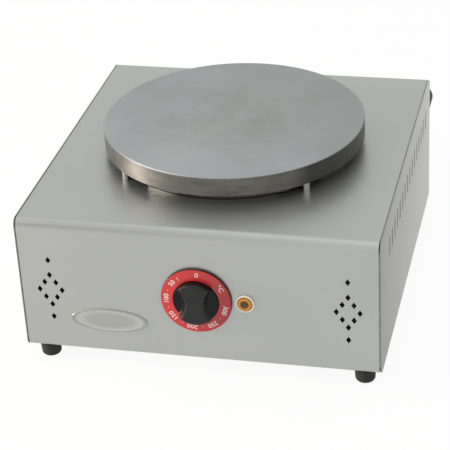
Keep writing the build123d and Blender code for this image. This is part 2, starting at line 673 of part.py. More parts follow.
def dial_ring():
    """The coloured scale ring on the knob's flange, a little thinner toward its rim."""
    inner, outer = GRIP_RADIUS + TOUCH, FLANGE_RADIUS - 0.6
    points = [
        (inner, dial_y),
        (outer, dial_y),
        (outer, dial_y - DIAL_RIM_THICKNESS),
        (inner, dial_y - DIAL_THICKNESS),
    ]
    return turned_forward(points, KNOB_AXIS_X, knob_z)


def shaft_section(radius, y):
    """A round rod with a flat on its upper side."""
    flat = block(
        (KNOB_AXIS_X - radius, KNOB_AXIS_X + radius),
        y,
        (knob_z + SHAFT_FLAT + radius - SHAFT_RADIUS, knob_z + 2 * radius),
    )
    return rod(radius, KNOB_AXIS_X, knob_z, y) - flat


def knob_insert():
    """The brass bush moulded into the knob, bored to suit the flatted shaft."""
    y = (flange_y - INSERT_LENGTH, flange_y)
    bush = rod(INSERT_RADIUS, KNOB_AXIS_X, knob_z, y)
    return bush - shaft_section(SHAFT_RADIUS + RUNNING_CLEARANCE, (y[0] + INSERT_BOTTOM, y[1]))


def thermostat_shaft():
    """The thermostat's turning spindle, flatted where the knob sits."""
    flatted = shaft_section(SHAFT_RADIUS, (flange_y - INSERT_LENGTH + INSERT_BOTTOM + TOUCH, flange_y))
    return flatted + rod(SHAFT_RADIUS, KNOB_AXIS_X, knob_z, (flange_y, thermostat_y + SHAFT_DEPTH))


def blade(x, y, z):
    """A flat push-on terminal blade that points to the rear from (x, y, z)."""
    wide = (z - BLADE_WIDTH / 2, z + BLADE_WIDTH / 2)
    return block((x - BLADE_THICKNESS / 2, x + BLADE_THICKNESS / 2), (y, y + BLADE_LENGTH), wide)


def thermostat_body():
    """The thermostat: mounting plate, bush, moulded housing and four blades at the rear."""
    x = (KNOB_AXIS_X - THERMOSTAT_WIDTH / 2, KNOB_AXIS_X + THERMOSTAT_WIDTH / 2)
    z = (knob_z - THERMOSTAT_HEIGHT / 2, knob_z + THERMOSTAT_HEIGHT / 2)
    plate_z = (knob_z - THERMOSTAT_PLATE_HEIGHT / 2, knob_z + THERMOSTAT_PLATE_HEIGHT / 2)
    rear = thermostat_y + THERMOSTAT_LENGTH
    housing = block(x, (thermostat_y, rear), z)
    body = fillet(housing.edges().filter_by(Axis.Y), THERMOSTAT_ROUND)
    body += block(x, (inside_front_y, thermostat_y), plate_z)
    body += rod(BUSH_RADIUS, KNOB_AXIS_X, knob_z, (front_y - BUSH_PROUD, thermostat_y))
    for side in (-1, 1):
        for up in (-1, 1):
            body += blade(KNOB_AXIS_X + side * BLADE_OFFSET_X, rear, knob_z + up * BLADE_OFFSET_Z)
    spindle_hole = (front_y - BUSH_PROUD, thermostat_y + SHAFT_DEPTH + TOUCH)
    body -= rod(SHAFT_RADIUS + RUNNING_CLEARANCE, KNOB_AXIS_X, knob_z, spindle_hole)
    for screw_x, screw_z in thermostat_screws:
        hole = (inside_front_y, inside_front_y + SCREW_LENGTH)
        body -= rod(SCREW_RADIUS + HOLE_CLEARANCE, screw_x, screw_z, hole)
    return body


def sensor_bulb():
    """The thermostat's bulb, held under the plate between the two loops."""
    bulb = Pos(0, bulb_y, bulb_z) * Rot(0, 90, 0) * Cylinder(BULB_RADIUS, BULB_LENGTH)
    return fillet(bulb.edges(), BULB_ROUND)


def bulb_clips():
    """Two strap clips that hold the bulb up against the plate."""
    inner = BULB_RADIUS + TOUCH
    outer = inner + CLIP_THICKNESS
    rise = web_z - bulb_z
    profile = Circle(outer) - Pos(0, outer) * Rectangle(2 * outer, 2 * outer)
    profile += Pos(0, rise / 2) * Rectangle(2 * outer, rise)
    profile += Pos(0, rise - CLIP_THICKNESS / 2) * Rectangle(2 * (outer + CLIP_EAR), CLIP_THICKNESS)
    profile -= Circle(inner) + Pos(0, rise / 2) * Rectangle(2 * inner, rise)
    clip = extrude(Plane.YZ * profile, CLIP_WIDTH / 2, both=True)
    return [Pos(side * BULB_LENGTH / 3, bulb_y, bulb_z) * clip for side in (-1, 1)]


def capillary():
    """The thin tube from the bulb down through the pan and forward to the thermostat."""
    x, y = capillary_drop
    start_x, start_y, start_z = capillary_start
    low = (pan_floor_z + start_z) / 2
    points = [
        (BULB_LENGTH / 2, bulb_y, bulb_z),
        (x, y, bulb_z),
        (x, y, low),
        (start_x, start_y, low),
        (start_x, start_y, start_z),
    ]
    path = FilletPolyline(*points, radius=CAPILLARY_BENDS)
    return sweep(Plane(origin=path @ 0, z_dir=path % 0) * Circle(CAPILLARY_RADIUS), path=path)


# ---------------------------------------------------------------- pilot lamp
def lamp_bezel():
    """The bright metal ring with its barrel through the front face."""
    tail = front_y + LAMP_BARREL
    face = front_y - LAMP_BEZEL_HEIGHT
    points = [
        (LAMP_BARREL_BORE, tail),
        (LAMP_BARREL_RADIUS, tail),
        (LAMP_BARREL_RADIUS, front_y),
        (LAMP_BEZEL_RADIUS, front_y),
        (LAMP_BEZEL_RADIUS, front_y - LAMP_BEZEL_HEIGHT / 3),
        (LAMP_LENS_RADIUS + TOUCH + 1.2, face),
        (LAMP_LENS_RADIUS + TOUCH, face),
        (LAMP_LENS_RADIUS + TOUCH, front_y - LAMP_SEAT),
        (LAMP_BARREL_BORE, front_y - LAMP_SEAT),
    ]
    return turned_forward(points, lamp_x, knob_z)


def lamp_lens():
    """The amber lens: a dished round button with a stem down the barrel."""
    seat = front_y - LAMP_SEAT
    face = seat - LAMP_LENS_HEIGHT
    stem = LAMP_BARREL_BORE - TOUCH
    points = [
        (0, seat + LAMP_STEM),
        (stem, seat + LAMP_STEM),
        (stem, seat),
        (LAMP_LENS_RADIUS, seat),
        (LAMP_LENS_RADIUS, face + LAMP_LENS_HEIGHT / 2),
        (LAMP_LENS_RADIUS * 0.72, face),
        (LAMP_LENS_RADIUS * 0.55, face + 0.8),
        (0, face + 0.8),
    ]
    return turned_forward(points, lamp_x, knob_z)


def lamp_nut():
    """The hexagon nut that pulls the lamp against the sheet from inside."""
    y = (inside_front_y, inside_front_y + LAMP_NUT)
    nut = hexagon_rod(LAMP_NUT_FLATS, lamp_x, knob_z, y)
    return nut - rod(LAMP_BARREL_RADIUS + HOLE_CLEARANCE, lamp_x, knob_z, y)


def lamp_tail():
    """The insulating plug in the barrel's rear end with its two contact blades."""
    tail = front_y + LAMP_BARREL
    end = tail + LAMP_PLUG_FLANGE
    plug = rod(LAMP_BARREL_BORE - HOLE_CLEARANCE, lamp_x, knob_z, (tail - LAMP_PLUG, tail))
    plug += rod(LAMP_BARREL_RADIUS, lamp_x, knob_z, (tail, end))
    for side in (-1, 1):
        plug += blade(lamp_x + side * LAMP_BLADE_OFFSET, end, knob_z)
    return plug


# ---------------------------------------------------------------- supply
def terminal_block():
    """A porcelain terminal block on the base, with a wire hole and two screw wells for each way."""
    top = block_z + BLOCK_HEIGHT
    body = block(
        (block_x - BLOCK_WIDTH / 2, block_x + BLOCK_WIDTH / 2),
        (block_y - BLOCK_DEPTH / 2, block_y + BLOCK_DEPTH / 2),
        (block_z, top),
    )
    body = fillet(body.edges().filter_by(Axis.Z), BLOCK_ROUND)
    wire_y = (block_y - BLOCK_DEPTH, block_y + BLOCK_DEPTH)
    for x in block_ways:
        body -= rod(BLOCK_WIRE_RADIUS, x, block_z + BLOCK_WIRE_HEIGHT, wire_y)
        for side in (-1, 1):
            well_y = block_y + side * BLOCK_WELL_OFFSET
            body -= post(BLOCK_WELL_RADIUS, x, well_y, (block_z + BLOCK_WIRE_HEIGHT, top))
    for x in block_fixings:
        body -= post(SCREW_RADIUS + HOLE_CLEARANCE, x, block_y, (block_z, top))
    return body


def terminal_screws():
    """The clamping screws in the block's wells."""
    top = block_z + BLOCK_HEIGHT - BLOCK_SCREW_SUNK
    wells = [(x, block_y + side * BLOCK_WELL_OFFSET) for x in block_ways for side in (-1, 1)]
    return [post(BLOCK_WELL_RADIUS - HOLE_CLEARANCE, x, y, (top - BLOCK_SCREW_LENGTH, top)) for x, y in wells]


def terminal_block_screws():
    """The two screws that hold the block down on the base."""
    top = block_z + BLOCK_HEIGHT
    return [screw(x, block_y, top, (0, 0, -1), BLOCK_HEIGHT + 2 * SHEET) for x in block_fixings]


def earth_terminal():
    """The earth stud welded to the base, with its nut."""
    y = block_y - EARTH_INSET
    stud = post(BOLT_RADIUS, block_x, y, (block_z, block_z + EARTH_STUD))
    nut_z = (block_z, block_z + NUT)
    nut = hexagon_post(NUT_FLATS, block_x, y, nut_z) - post(BOLT_RADIUS + HOLE_CLEARANCE, block_x, y, nut_z)
    return [stud, nut]


def gland_body():
    """The fixed half of the cable gland: hexagon against the rear sheet, thread through it."""
    hexagon_end = rear_y + GLAND_HEX
    thread_start = rear_y - SHEET - GLAND_THREAD
    thread_end = hexagon_end + GLAND_NUT_LENGTH * 0.45
    body = hexagon_rod(GLAND_FLATS, gland_x, gland_z, (rear_y, hexagon_end))
    body += rod(GLAND_THREAD_RADIUS, gland_x, gland_z, (thread_start, rear_y))
    body += rod(GLAND_THREAD_RADIUS, gland_x, gland_z, (hexagon_end, thread_end))
    return body - rod(GLAND_SEAL_RADIUS, gland_x, gland_z, (thread_start, thread_end))


def gland_nut():
    """The gland's domed clamping nut, fluted round its waist."""
    start = rear_y + GLAND_HEX
    middle = start + GLAND_NUT_LENGTH / 2
    end = start + GLAND_NUT_LENGTH
    shoulder = end - GLAND_SHOULDER
    thread = GLAND_THREAD_RADIUS + HOLE_CLEARANCE
    mouth = GLAND_BORE + 1.2
    edge = 0.8
    points = [
        (thread, start),
        (GLAND_NUT_RADIUS - edge, start),
        (GLAND_NUT_RADIUS, start + edge),
        (GLAND_NUT_RADIUS, shoulder),
        (GLAND_NUT_RADIUS - 2 * edge, shoulder + GLAND_SHOULDER / 2),
        (GLAND_NOSE_RADIUS, end),
        (mouth, end),
        (mouth, end - GLAND_NOSE),
        (GLAND_SEAL_RADIUS + TOUCH, shoulder),
        (thread, middle),
    ]
    nut = turned_forward(points, gland_x, gland_z)
    for n in range(GLAND_RIBS):
        angle = 2 * pi * (n + 0.5) / GLAND_RIBS
        reach = GLAND_NUT_RADIUS + GLAND_RIB_RADIUS / 2
        x = gland_x + reach * cos(angle)
        nut -= rod(GLAND_RIB_RADIUS, x, gland_z + reach * sin(angle), (start + edge, end))
    return nut


def gland_seal():
    """The rubber sleeve that grips the cable; its bore is open where the cable goes."""
    y = (rear_y, rear_y + GLAND_HEX + GLAND_NUT_LENGTH - GLAND_SHOULDER)
    return rod(GLAND_SEAL_RADIUS - GLAND_FIT, gland_x, gland_z, y) - rod(GLAND_BORE, gland_x, gland_z, y)


def gland_locknut():
    """The locknut inside the casing, with a flat beside the side panel."""
    y = (rear_y - SHEET - GLAND_LOCKNUT, rear_y - SHEET)
    nut = hexagon_rod(GLAND_FLATS, gland_x, gland_z, y)
    return nut - rod(GLAND_THREAD_RADIUS + HOLE_CLEARANCE, gland_x, gland_z, y)


# ---------------------------------------------------------------- feet and fasteners
def foot(x, y):
    """A moulded rubber foot, tapered and rounded at the sole, with a sunk screw hole."""
    body = Pos(x, y, FOOT_HEIGHT / 2) * Cone(FOOT_SOLE_RADIUS, FOOT_RADIUS, FOOT_HEIGHT)
    body = fillet(body.edges().sort_by(Axis.Z)[0], FOOT_ROUND)
    body -= post(BOLT_HEAD_RADIUS + FOOT_BORE_GAP, x, y, (0, FOOT_BORE_DEPTH))
    return body - post(BOLT_RADIUS + HOLE_CLEARANCE, x, y, (0, FOOT_HEIGHT))


def foot_bolt(x, y):
    """The bolt up through a foot."""
    head = post(BOLT_HEAD_RADIUS, x, y, (FOOT_BORE_DEPTH - BOLT_HEAD, FOOT_BORE_DEPTH))
    return head + post(BOLT_RADIUS, x, y, (FOOT_BORE_DEPTH, base_z + SHEET + NUT + BOLT_SPARE))


def foot_nut(x, y):
    """The nut inside the casing above a foot."""
    z = (base_z + SHEET, base_z + SHEET + NUT)
    return hexagon_post(NUT_FLATS, x, y, z) - post(BOLT_RADIUS + HOLE_CLEARANCE, x, y, z)


# ---------------------------------------------------------------- build
def main():
    """Builds and writes every node."""
    save("front_top_cover", front_top_cover())
    save("side_panel_left", side_panel(-1))
    save("side_panel_right", side_panel(1))
    save("back_panel", back_panel())
    save("base_plate", base_plate())
    save("badge_plate", badge())
    save("hot_plate", hot_plate())
    pin_names = ("rear_right", "rear_left", "front_left", "front_right")
    for name, place in zip(pin_names, pin_places):
        save(f"support_pin_{name}", support_pin(*place))
    save("support_pin_nuts", *[pin_nut(*place) for place in pin_places])
    save("heater_pan", heater_pan())
    save("insulation_disc", insulation())
    for name, radius in loop_radii.items():
        save(f"heating_element_{name}", heating_element(radius))
    save("element_clamp", element_clamp())
    save("centre_stud", centre_stud())
    save("centre_stud_nuts", *stud_nuts())
    save("bearer_rail_front", bearer_rail(rail_rows[0]))
    save("bearer_rail_rear", bearer_rail(rail_rows[1]))
    save("knob_grip", knob_grip())
    save("dial_ring", dial_ring())
    save("knob_insert", knob_insert())
    save("thermostat_shaft", thermostat_shaft())
    save("thermostat_body", thermostat_body())
    save("sensor_bulb", sensor_bulb())
    save("bulb_clips", *bulb_clips())
    save("capillary_tube", capillary())
    save("lamp_bezel", lamp_bezel())
    save("lamp_lens", lamp_lens())
    save("lamp_nut", lamp_nut())
    save("lamp_tail", lamp_tail())
    save("terminal_block", terminal_block())
    save("terminal_screws", *terminal_screws())
    save("terminal_block_screws", *terminal_block_screws())
    save("earth_terminal", *earth_terminal())
    save("gland_body", gland_body())
    save("gland_nut", gland_nut())
    save("gland_seal", gland_seal())
    save("gland_locknut", gland_locknut())
    foot_names = ("front_left", "front_right", "rear_left", "rear_right")
    for name, place in zip(foot_names, foot_places):
        save(f"foot_{name}", foot(*place))
    save("foot_bolts", *[foot_bolt(*place) for place in foot_places])
    save("foot_nuts", *[foot_nut(*place) for place in foot_places])
    save("back_panel_screws", *[screw(x, rear_y, z, (0, -1, 0)) for x, z in rear_screws])
    save("base_plate_screws", *[screw(x, y, base_z, (0, 0, 1)) for x, y in base_screws])
    save("thermostat_screws", *[screw(x, front_y, z, (0, 1, 0), 5.0) for x, z in thermostat_screws])


main()
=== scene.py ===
"""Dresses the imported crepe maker: finishes, moulded and printed details, the studio and the camera.

Lengths are in metres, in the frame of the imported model: +Z is up and the user stands at -Y.
"""

import logging
from dataclasses import dataclass
from enum import Enum
from math import atan2, cos, hypot, radians, sin, sqrt, tau
from typing import Any, Callable

import bmesh
import bpy
from mathutils import Matrix, Vector

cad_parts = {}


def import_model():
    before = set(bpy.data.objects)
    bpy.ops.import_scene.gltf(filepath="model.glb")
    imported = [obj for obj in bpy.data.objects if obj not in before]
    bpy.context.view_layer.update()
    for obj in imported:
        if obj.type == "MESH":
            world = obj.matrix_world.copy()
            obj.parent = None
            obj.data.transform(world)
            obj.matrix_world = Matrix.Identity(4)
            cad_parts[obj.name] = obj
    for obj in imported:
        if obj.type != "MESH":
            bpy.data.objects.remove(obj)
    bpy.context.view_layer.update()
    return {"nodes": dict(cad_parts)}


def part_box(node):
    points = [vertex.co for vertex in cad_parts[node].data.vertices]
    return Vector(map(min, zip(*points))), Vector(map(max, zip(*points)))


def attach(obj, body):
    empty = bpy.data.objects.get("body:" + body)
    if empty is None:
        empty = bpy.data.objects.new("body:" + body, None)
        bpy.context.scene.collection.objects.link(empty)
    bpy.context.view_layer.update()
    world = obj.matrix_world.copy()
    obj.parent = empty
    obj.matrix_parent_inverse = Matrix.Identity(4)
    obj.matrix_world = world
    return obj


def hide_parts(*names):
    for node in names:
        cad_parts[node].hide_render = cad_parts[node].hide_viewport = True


LOG = logging.getLogger("crepe_maker")
MM = 0.001
SHEET_METAL = 0.82  # how far satin sheet is a mirror; the rest scatters as paint does
RELIEF = 0.2 * MM  # depth of a sheet's grain in the bump
SLACK = 0.01 * MM  # margin when a vertex's place is compared
WHITE = (1.0, 1.0, 1.0)
UPRIGHT = Matrix.Rotation(radians(90.0), 4, "X")
Mesh = bmesh.types.BMesh
Material = bpy.types.Material
Pair = tuple[float, float]
Triple = tuple[float, float, float]
Colour = Triple
Profile = list[Pair]


# ---- shader expressions
class Signal:
    """A shader socket that takes part in Python expressions."""

    def __init__(self, graph: "Graph", socket: bpy.types.NodeSocket | None) -> None:
        """Keeps the graph and the output socket that this signal stands for."""
        self.graph = graph
        self.socket = socket

    def __add__(self, other: "Signal | float") -> "Signal":
        """Adds a signal or a number."""
        return self.graph.maths("ADD", self, other)

    def __sub__(self, other: "Signal | float") -> "Signal":
        """Takes a signal or a number away."""
        return self.graph.maths("SUBTRACT", self, other)

    def __rsub__(self, other: "Signal | float") -> "Signal":
        """Takes this signal away from a number."""
        return self.graph.maths("SUBTRACT", other, self)

    def __mul__(self, other: "Signal | float") -> "Signal":
        """Multiplies by a signal or a number."""
        return self.graph.maths("MULTIPLY", self, other)

    def __truediv__(self, other: "Signal | float") -> "Signal":
        """Divides by a signal or a number."""
        return self.graph.maths("DIVIDE", self, other)

    def __pow__(self, other: "Signal | float") -> "Signal":
        """Raises to a power."""
        return self.graph.maths("POWER", self, other)

    __radd__ = __add__
    __rmul__ = __mul__


class Graph:
    """A node tree filled by expressions, for a material or a world."""

    def __init__(self, owner: Material | bpy.types.World) -> None:
        """Empties the owner's node tree.

        Args:
            owner: The material or world whose tree is filled.
        """
        owner.use_nodes = True
        self.owner = owner
        self.tree = owner.node_tree
        self.tree.nodes.clear()

    def node(
        self,
        kind: str,
        settings: dict[str, Any] | None = None,
        inputs: dict[str | int, Any] | None = None,
        output: str | int = 0,
    ) -> Signal:
        """Adds any node.

        Args:
            kind: The node's type name.
            settings: The node's own properties, set before its sockets.
            inputs: Values or signals for its input sockets, by name or number. A colour has three parts.
            output: The output socket that is returned.

        Returns:
            The chosen output as a signal.
        """
        made = self.tree.nodes.new(kind)
        for key, value in (settings or {}).items():
            setattr(made, key, value)
        for key, value in (inputs or {}).items():
            socket = made.inputs[key]
            if isinstance(value, Signal):
                self.tree.links.new(value.socket, socket)
            else:
                socket.default_value = (*value, 1.0) if socket.type == "RGBA" else value
        return Signal(self, made.outputs[output] if made.outputs else None)

    def maths(self, operation: str, first: Signal | float, second: Signal | float = 0.0) -> Signal:
        """Adds a Math node for one operation on two signals or numbers."""
        return self.node("ShaderNodeMath", {"operation": operation}, {0: first, 1: second})

    def clamp(self, value: Signal) -> Signal:
        """Keeps a signal between 0 and 1."""
        return self.node("ShaderNodeClamp", inputs={0: value})

    def ramp(self, value: Signal, places: tuple[float, ...], *colours: Colour) -> Signal:
        """Turns a signal into a colour.

        Args:
            value: The signal.
            places: Its values at the colours, in rising order.
            *colours: The colours.

        Returns:
            The colour signal.
        """
        colour = self.node("ShaderNodeValToRGB", inputs={0: value}, output="Color")
        elements = colour.socket.node.color_ramp.elements
        while len(elements) < len(places):
            elements.new(1.0)
        for element, place, shade in zip(elements, places, colours):
            element.position, element.color = place, (*shade, 1.0)
        return colour

    def place(self, scale: Triple, centre: Vector | None = None) -> Signal:
        """Gives the piece's own coordinates, stretched for a pattern.

        Args:
            scale: Cells per metre along each axis.
            centre: The point that becomes the pattern's origin.

        Returns:
            The mapped coordinates.
        """
        shift = tuple(-c * s for c, s in zip(centre or Vector(), scale))
        coordinates = self.node("ShaderNodeTexCoord", output="Object")
        mapped = {"Vector": coordinates, "Location": shift, "Scale": scale}
        return self.node("ShaderNodeMapping", inputs=mapped)

    def coordinate(self, axis: str) -> Signal:
        """Gives one of the piece's own coordinates in metres: "X", "Y" or "Z"."""
        return self.node("ShaderNodeSeparateXYZ", inputs={0: self.place((1.0, 1.0, 1.0))}, output=axis)

    def along(self, axis: str, low: float, high: float) -> Signal:
        """Rises from 0 at low to 1 at high along an axis."""
        return self.clamp((self.coordinate(axis) - low) / (high - low))

    def reach(self, axes: Triple, centre: Vector) -> Signal:
        """Gives the distance from a centre, with each axis scaled."""
        flat = self.place(axes, centre)
        return self.node("ShaderNodeVectorMath", {"operation": "LENGTH"}, {0: flat}, output="Value")

    def stretch(self, value: Signal, start: float, gain: float) -> Signal:
        """Rises from 0 to 1 by the gain once a signal passes the start."""
        return self.clamp((value - start) * gain)

    def noise(self, cells: Triple | float, detail: float = 3.0, roughness: float = 0.55) -> Signal:
        """Gives fractal noise between about 0 and 1 by its cells per metre."""
        place = self.place(cells if isinstance(cells, tuple) else (cells,) * 3)
        inputs = {"Vector": place, "Scale": 1.0, "Detail": detail, "Roughness": roughness}
        return self.node("ShaderNodeTexNoise", inputs=inputs, output="Fac")

    def blend(self, factor: Signal | float, first: Signal | Colour, second: Signal | Colour) -> Signal:
        """Mixes two colours by a factor."""
        return self.node("ShaderNodeMix", {"data_type": "RGBA"}, {0: factor, 6: first, 7: second}, output=2)

    def bump(self, height: Signal, strength: float, distance: float) -> Signal:
        """Turns a height signal into a normal."""
        inputs = {"Height": height, "Strength": strength, "Distance": distance}
        return self.node("ShaderNodeBump", inputs=inputs, output="Normal")

    def finish(self, **sockets: Any) -> Material:
        """Ends a material in a Principled shader.

        Args:
            **sockets: The shader's sockets, with underscores for spaces.

        Returns:
            The finished material.
        """
        named = {key.replace("_", " "): value for key, value in sockets.items()}
        shader = self.node("ShaderNodeBsdfPrincipled", inputs=named)
        self.node("ShaderNodeOutputMaterial", inputs={"Surface": shader})
        return self.owner


# ---- finishes
@dataclass(frozen=True)
class Finish:
    """A named finish that builds its material once."""

    name: str

    def shade(self, g: Graph) -> Material:
        """Builds the finish; each kind has its own.

        Args:
            g: The empty graph of the new material.

        Returns:
            The finished material.
        """
        raise NotImplementedError

    def material(self) -> Material:
        """Gives the material, built at its first use."""
        known = bpy.data.materials.get(self.name)
        return known or self.shade(Graph(bpy.data.materials.new(self.name)))


class Grain(Enum):
    """Which way a sheet's grain runs, as cells per metre along each axis."""

    ACROSS = (14.0, 2400.0, 2400.0)
    DEEP = (2400.0, 14.0, 2400.0)


@dataclass(frozen=True)
class Fade:
    """A change of colour between two places along one axis, held back where another fade is weak."""

    axis: str
    low: float
    high: float
    colour: Colour = (0.0, 0.0, 0.0)
    within: "Fade | None" = None

    def mask(self, g: Graph) -> Signal:
        """Rises from 0 to 1 between the two places."""
        rise = g.along(self.axis, self.low, self.high)
        return rise * self.within.mask(g) if self.within else rise

    def over(self, g: Graph, colour: Signal | Colour) -> Signal:
        """Lays the fade's colour over another."""
        return g.blend(self.mask(g), colour, self.colour)


@dataclass(frozen=True)
class LouvreShade:
    """Painted shade in front of each slot of a row along Y, standing in for the shaded slopes of louvres."""

    first: float
    last: float
    pitch: float
    low: float
    high: float
    reach: float = 11.0 * MM
    soft_end: float = 2.0 * MM
    falloff: float = 0.6
    strength: float = 0.62
    colour: Colour = (0.10, 0.10, 0.095)

    def mask(self, g: Graph) -> Signal:
        """Is full at a slot and fades toward the front over its reach."""
        place = g.coordinate("Y")
        since = g.maths("FRACT", (place - self.first) / self.pitch)
        before = g.clamp(1.0 - (1.0 - since) * (self.pitch / self.reach))
        row = g.along("Y", self.first - self.reach, self.first) + g.maths("GREATER_THAN", place, self.first)
        row = g.clamp(row) * g.maths("LESS_THAN", place, self.last)
        foot = g.along("Z", self.low - self.soft_end, self.low + self.soft_end)
        head = g.along("Z", self.high + self.soft_end, self.high - self.soft_end)
        return before**self.falloff * row * (foot * head) * self.strength


@dataclass(frozen=True)
class SatinSheet(Finish):
    """Satin stainless sheet with a fine directional grain and faint handling marks."""

    grain: Grain = Grain.ACROSS
    colour: Colour = (0.460, 0.472, 0.447)
    unevenness: float = 0.10
    # The fades change the colour by place; most of them are painted light and shade.
    fades: tuple[Fade, ...] = ()
    # mill is a dull mill finish, darkened as painted shade so the seams read dark.
    mill: Colour = (0.330, 0.332, 0.318)
    mill_inside: float | None = None
    edge: float = 1.0
    louvre_shade: LouvreShade | None = None
    roughness: float = 0.29
    mill_roughness: float = 0.25
    grain_depth: float = 0.05

    def shade(self, g: Graph) -> Material:
        """Builds the satin face, and within mill_inside of the middle plane a dull mill finish, darkened as
        painted shade in the seams.
        """
        streaks = g.noise(self.grain.value, detail=4.0, roughness=0.7)
        clouds = g.noise(6.0, detail=2.0)
        smudges = g.noise(34.0, detail=5.0, roughness=0.6)
        colour = self.colour
        # Lays each fade over the colour; most of them are painted light and shade.
        for fade in self.fades:
            colour = fade.over(g, colour)
        tone = g.clamp(clouds * 0.9 + streaks * 0.35 - 0.12)
        colour = g.blend((1.0 - tone) * self.unevenness, colour, (0.0, 0.0, 0.0))
        roughness = self.roughness + 0.08 * streaks + 0.07 * smudges
        # Painted shade in front of each slot.
        if self.louvre_shade:
            colour = g.blend(self.louvre_shade.mask(g), colour, self.louvre_shade.colour)
        # Painted shade: the mill finish inside the seams is darker.
        if self.mill_inside is not None:
            inner = g.maths("LESS_THAN", g.maths("ABSOLUTE", g.coordinate("X")), self.mill_inside)
            colour = g.blend(inner, colour, self.mill)
            roughness = roughness + self.mill_roughness * inner
        return g.finish(
            Base_Color=colour,
            Metallic=SHEET_METAL,
            Specular_Tint=(self.edge, self.edge, self.edge),
            Roughness=roughness,
            Normal=g.bump(streaks, self.grain_depth, RELIEF),
        )


@dataclass(frozen=True)
class EtchedOval(Finish):
    """The badge's dull etched middle, its brighter border and its darker rim, which is a painted shadow
    round the badge's edge.
    """

    centre: Vector
    long: float
    short: float
    middle: Colour = (0.402, 0.408, 0.385)
    border: Colour = (0.490, 0.498, 0.467)
    # Painted shadow round the badge's edge.
    rim: Colour = (0.345, 0.350, 0.330)
    places: tuple[float, ...] = (0.55, 0.80, 0.86, 0.93)
    smear: Colour = (0.24, 0.245, 0.23)
    smear_share: float = 0.22

    def shade(self, g: Graph) -> Material:
        """Builds the tone by how far out on the oval a point lies."""
        share = g.reach((1.0 / self.long, 0.0, 1.0 / self.short), self.centre)
        # The rim's colour is a painted shadow.
        tone = g.ramp(share, self.places, self.middle, self.border, self.border, self.rim)
        smears = g.noise((90.0, 90.0, 420.0), detail=4.0, roughness=0.6)
        return g.finish(
            Base_Color=g.blend(g.stretch(smears, 0.42, 1.6) * self.smear_share, tone, self.smear),
            Metallic=SHEET_METAL,
            Roughness=0.28 + 0.10 * smears,
            Normal=g.bump(smears, 0.06, RELIEF),
        )


@dataclass(frozen=True)
class TurnedIron(Finish):
    """Turned and ground iron: a bright ringed face with painted light and shade across it, over a darker
    side, partly heat browning and partly painted shade, darkest toward its right.
    """

    centre: Vector
    top: float
    face: Colour = (0.366, 0.385, 0.388)
    face_shade: Colour = (0.290, 0.301, 0.297)
    seasoned: Colour = (0.262, 0.262, 0.242)
    # The side's dark colours are partly heat browning and partly painted shade.
    side: Colour = (0.225, 0.217, 0.195)
    side_shade: Colour = (0.150, 0.146, 0.132)
    # Painted shade: the side darkens toward its right.
    shaded_right_side: Fade = Fade("X", 104.0 * MM, 125.0 * MM, (0.072, 0.072, 0.066))
    # Painted shade toward the face's right and painted light toward its front.
    shaded_right: Fade = Fade("X", -60.0 * MM, 160.0 * MM)
    lit_front: Fade = Fade("Y", 160.0 * MM, -190.0 * MM)
    stain_radius: float = 140.0 * MM
    stain_share: float = 0.62
    rim_fade: Pair = (1.6 * MM, 0.4 * MM)
    ring_cells: float = 900.0
    side_cells: float = 1600.0

    def shade(self, g: Graph) -> Material:
        """Builds the face and the side, parted at the rim by height."""
        reach = g.reach((1.0, 1.0, 0.0), self.centre)
        turned = {0: reach * self.ring_cells, 1: g.coordinate("Z") * self.side_cells}
        grooves = {"Vector": g.node("ShaderNodeCombineXYZ", inputs=turned), "Scale": 1.0, "Detail": 3.0}
        rings = g.node("ShaderNodeTexNoise", inputs=grooves, output="Fac")
        clouds = g.noise(9.0, detail=4.0, roughness=0.6)
        stains = g.noise(22.0, detail=5.0, roughness=0.65)
        blotches = g.noise((30.0, 30.0, 110.0), detail=5.0, roughness=0.65)
        pores = g.noise(900.0, detail=2.0)
        on_face = g.along("Z", *(self.top - drop for drop in self.rim_fade))
        middle = g.clamp(1.25 - reach / self.stain_radius)
        stain = g.clamp(0.35 + (stains - 0.46) * 3.4) * middle
        # Painted shade toward the right and painted light toward the front, in the face's tone.
        use = self.shaded_right.mask(g) * 0.5
        near = self.lit_front.mask(g) * 0.6
        tone = g.clamp((clouds - 0.33) * 1.6 + (rings - 0.5) * 0.4 + (0.08 - use) + near)
        # The ground tone carries that painted light and shade; the seasoned stain over it is real.
        ground = g.blend(tone, self.face_shade, self.face)
        worn_and_shaded = g.blend(stain * self.stain_share, ground, self.seasoned)
        browned = g.blend(g.stretch(blotches, 0.34, 2.6), self.side_shade, self.side)
        # Painted shade toward the side's right.
        browned = self.shaded_right_side.over(g, browned)
        return g.finish(
            Base_Color=g.blend(on_face, browned, worn_and_shaded),
            Metallic=0.95,
            Roughness=0.38 + 0.08 * rings + 0.08 * clouds - 0.03 * (1.0 - on_face),
            Anisotropic=0.62,
            Anisotropic_Rotation=0.25,
            Normal=g.bump(rings * 0.7 + pores * 0.3, 0.10, 0.15 * MM),
        )


@dataclass(frozen=True)
class WorkedMetal(Finish):
    """Plain turned, plated or pressed metal for small parts."""

    colour: Colour
    roughness: float = 0.33
    mottle: float = 0.10
    cells: float = 400.0
    fade: Fade | None = None

    def shade(self, g: Graph) -> Material:
        """Builds the metal with a faint mottle."""
        spots = g.noise(self.cells, detail=3.0)
        dark = tuple(c * (1.0 - self.mottle * 2) for c in self.colour)
        colour = g.blend(spots, dark, self.colour)
        if self.fade:
            colour = self.fade.over(g, colour)
        return g.finish(
            Base_Color=colour,
            Metallic=1.0,
            Roughness=self.roughness + self.mottle * spots,
            Normal=g.bump(spots, 0.04, 0.05 * MM),
        )


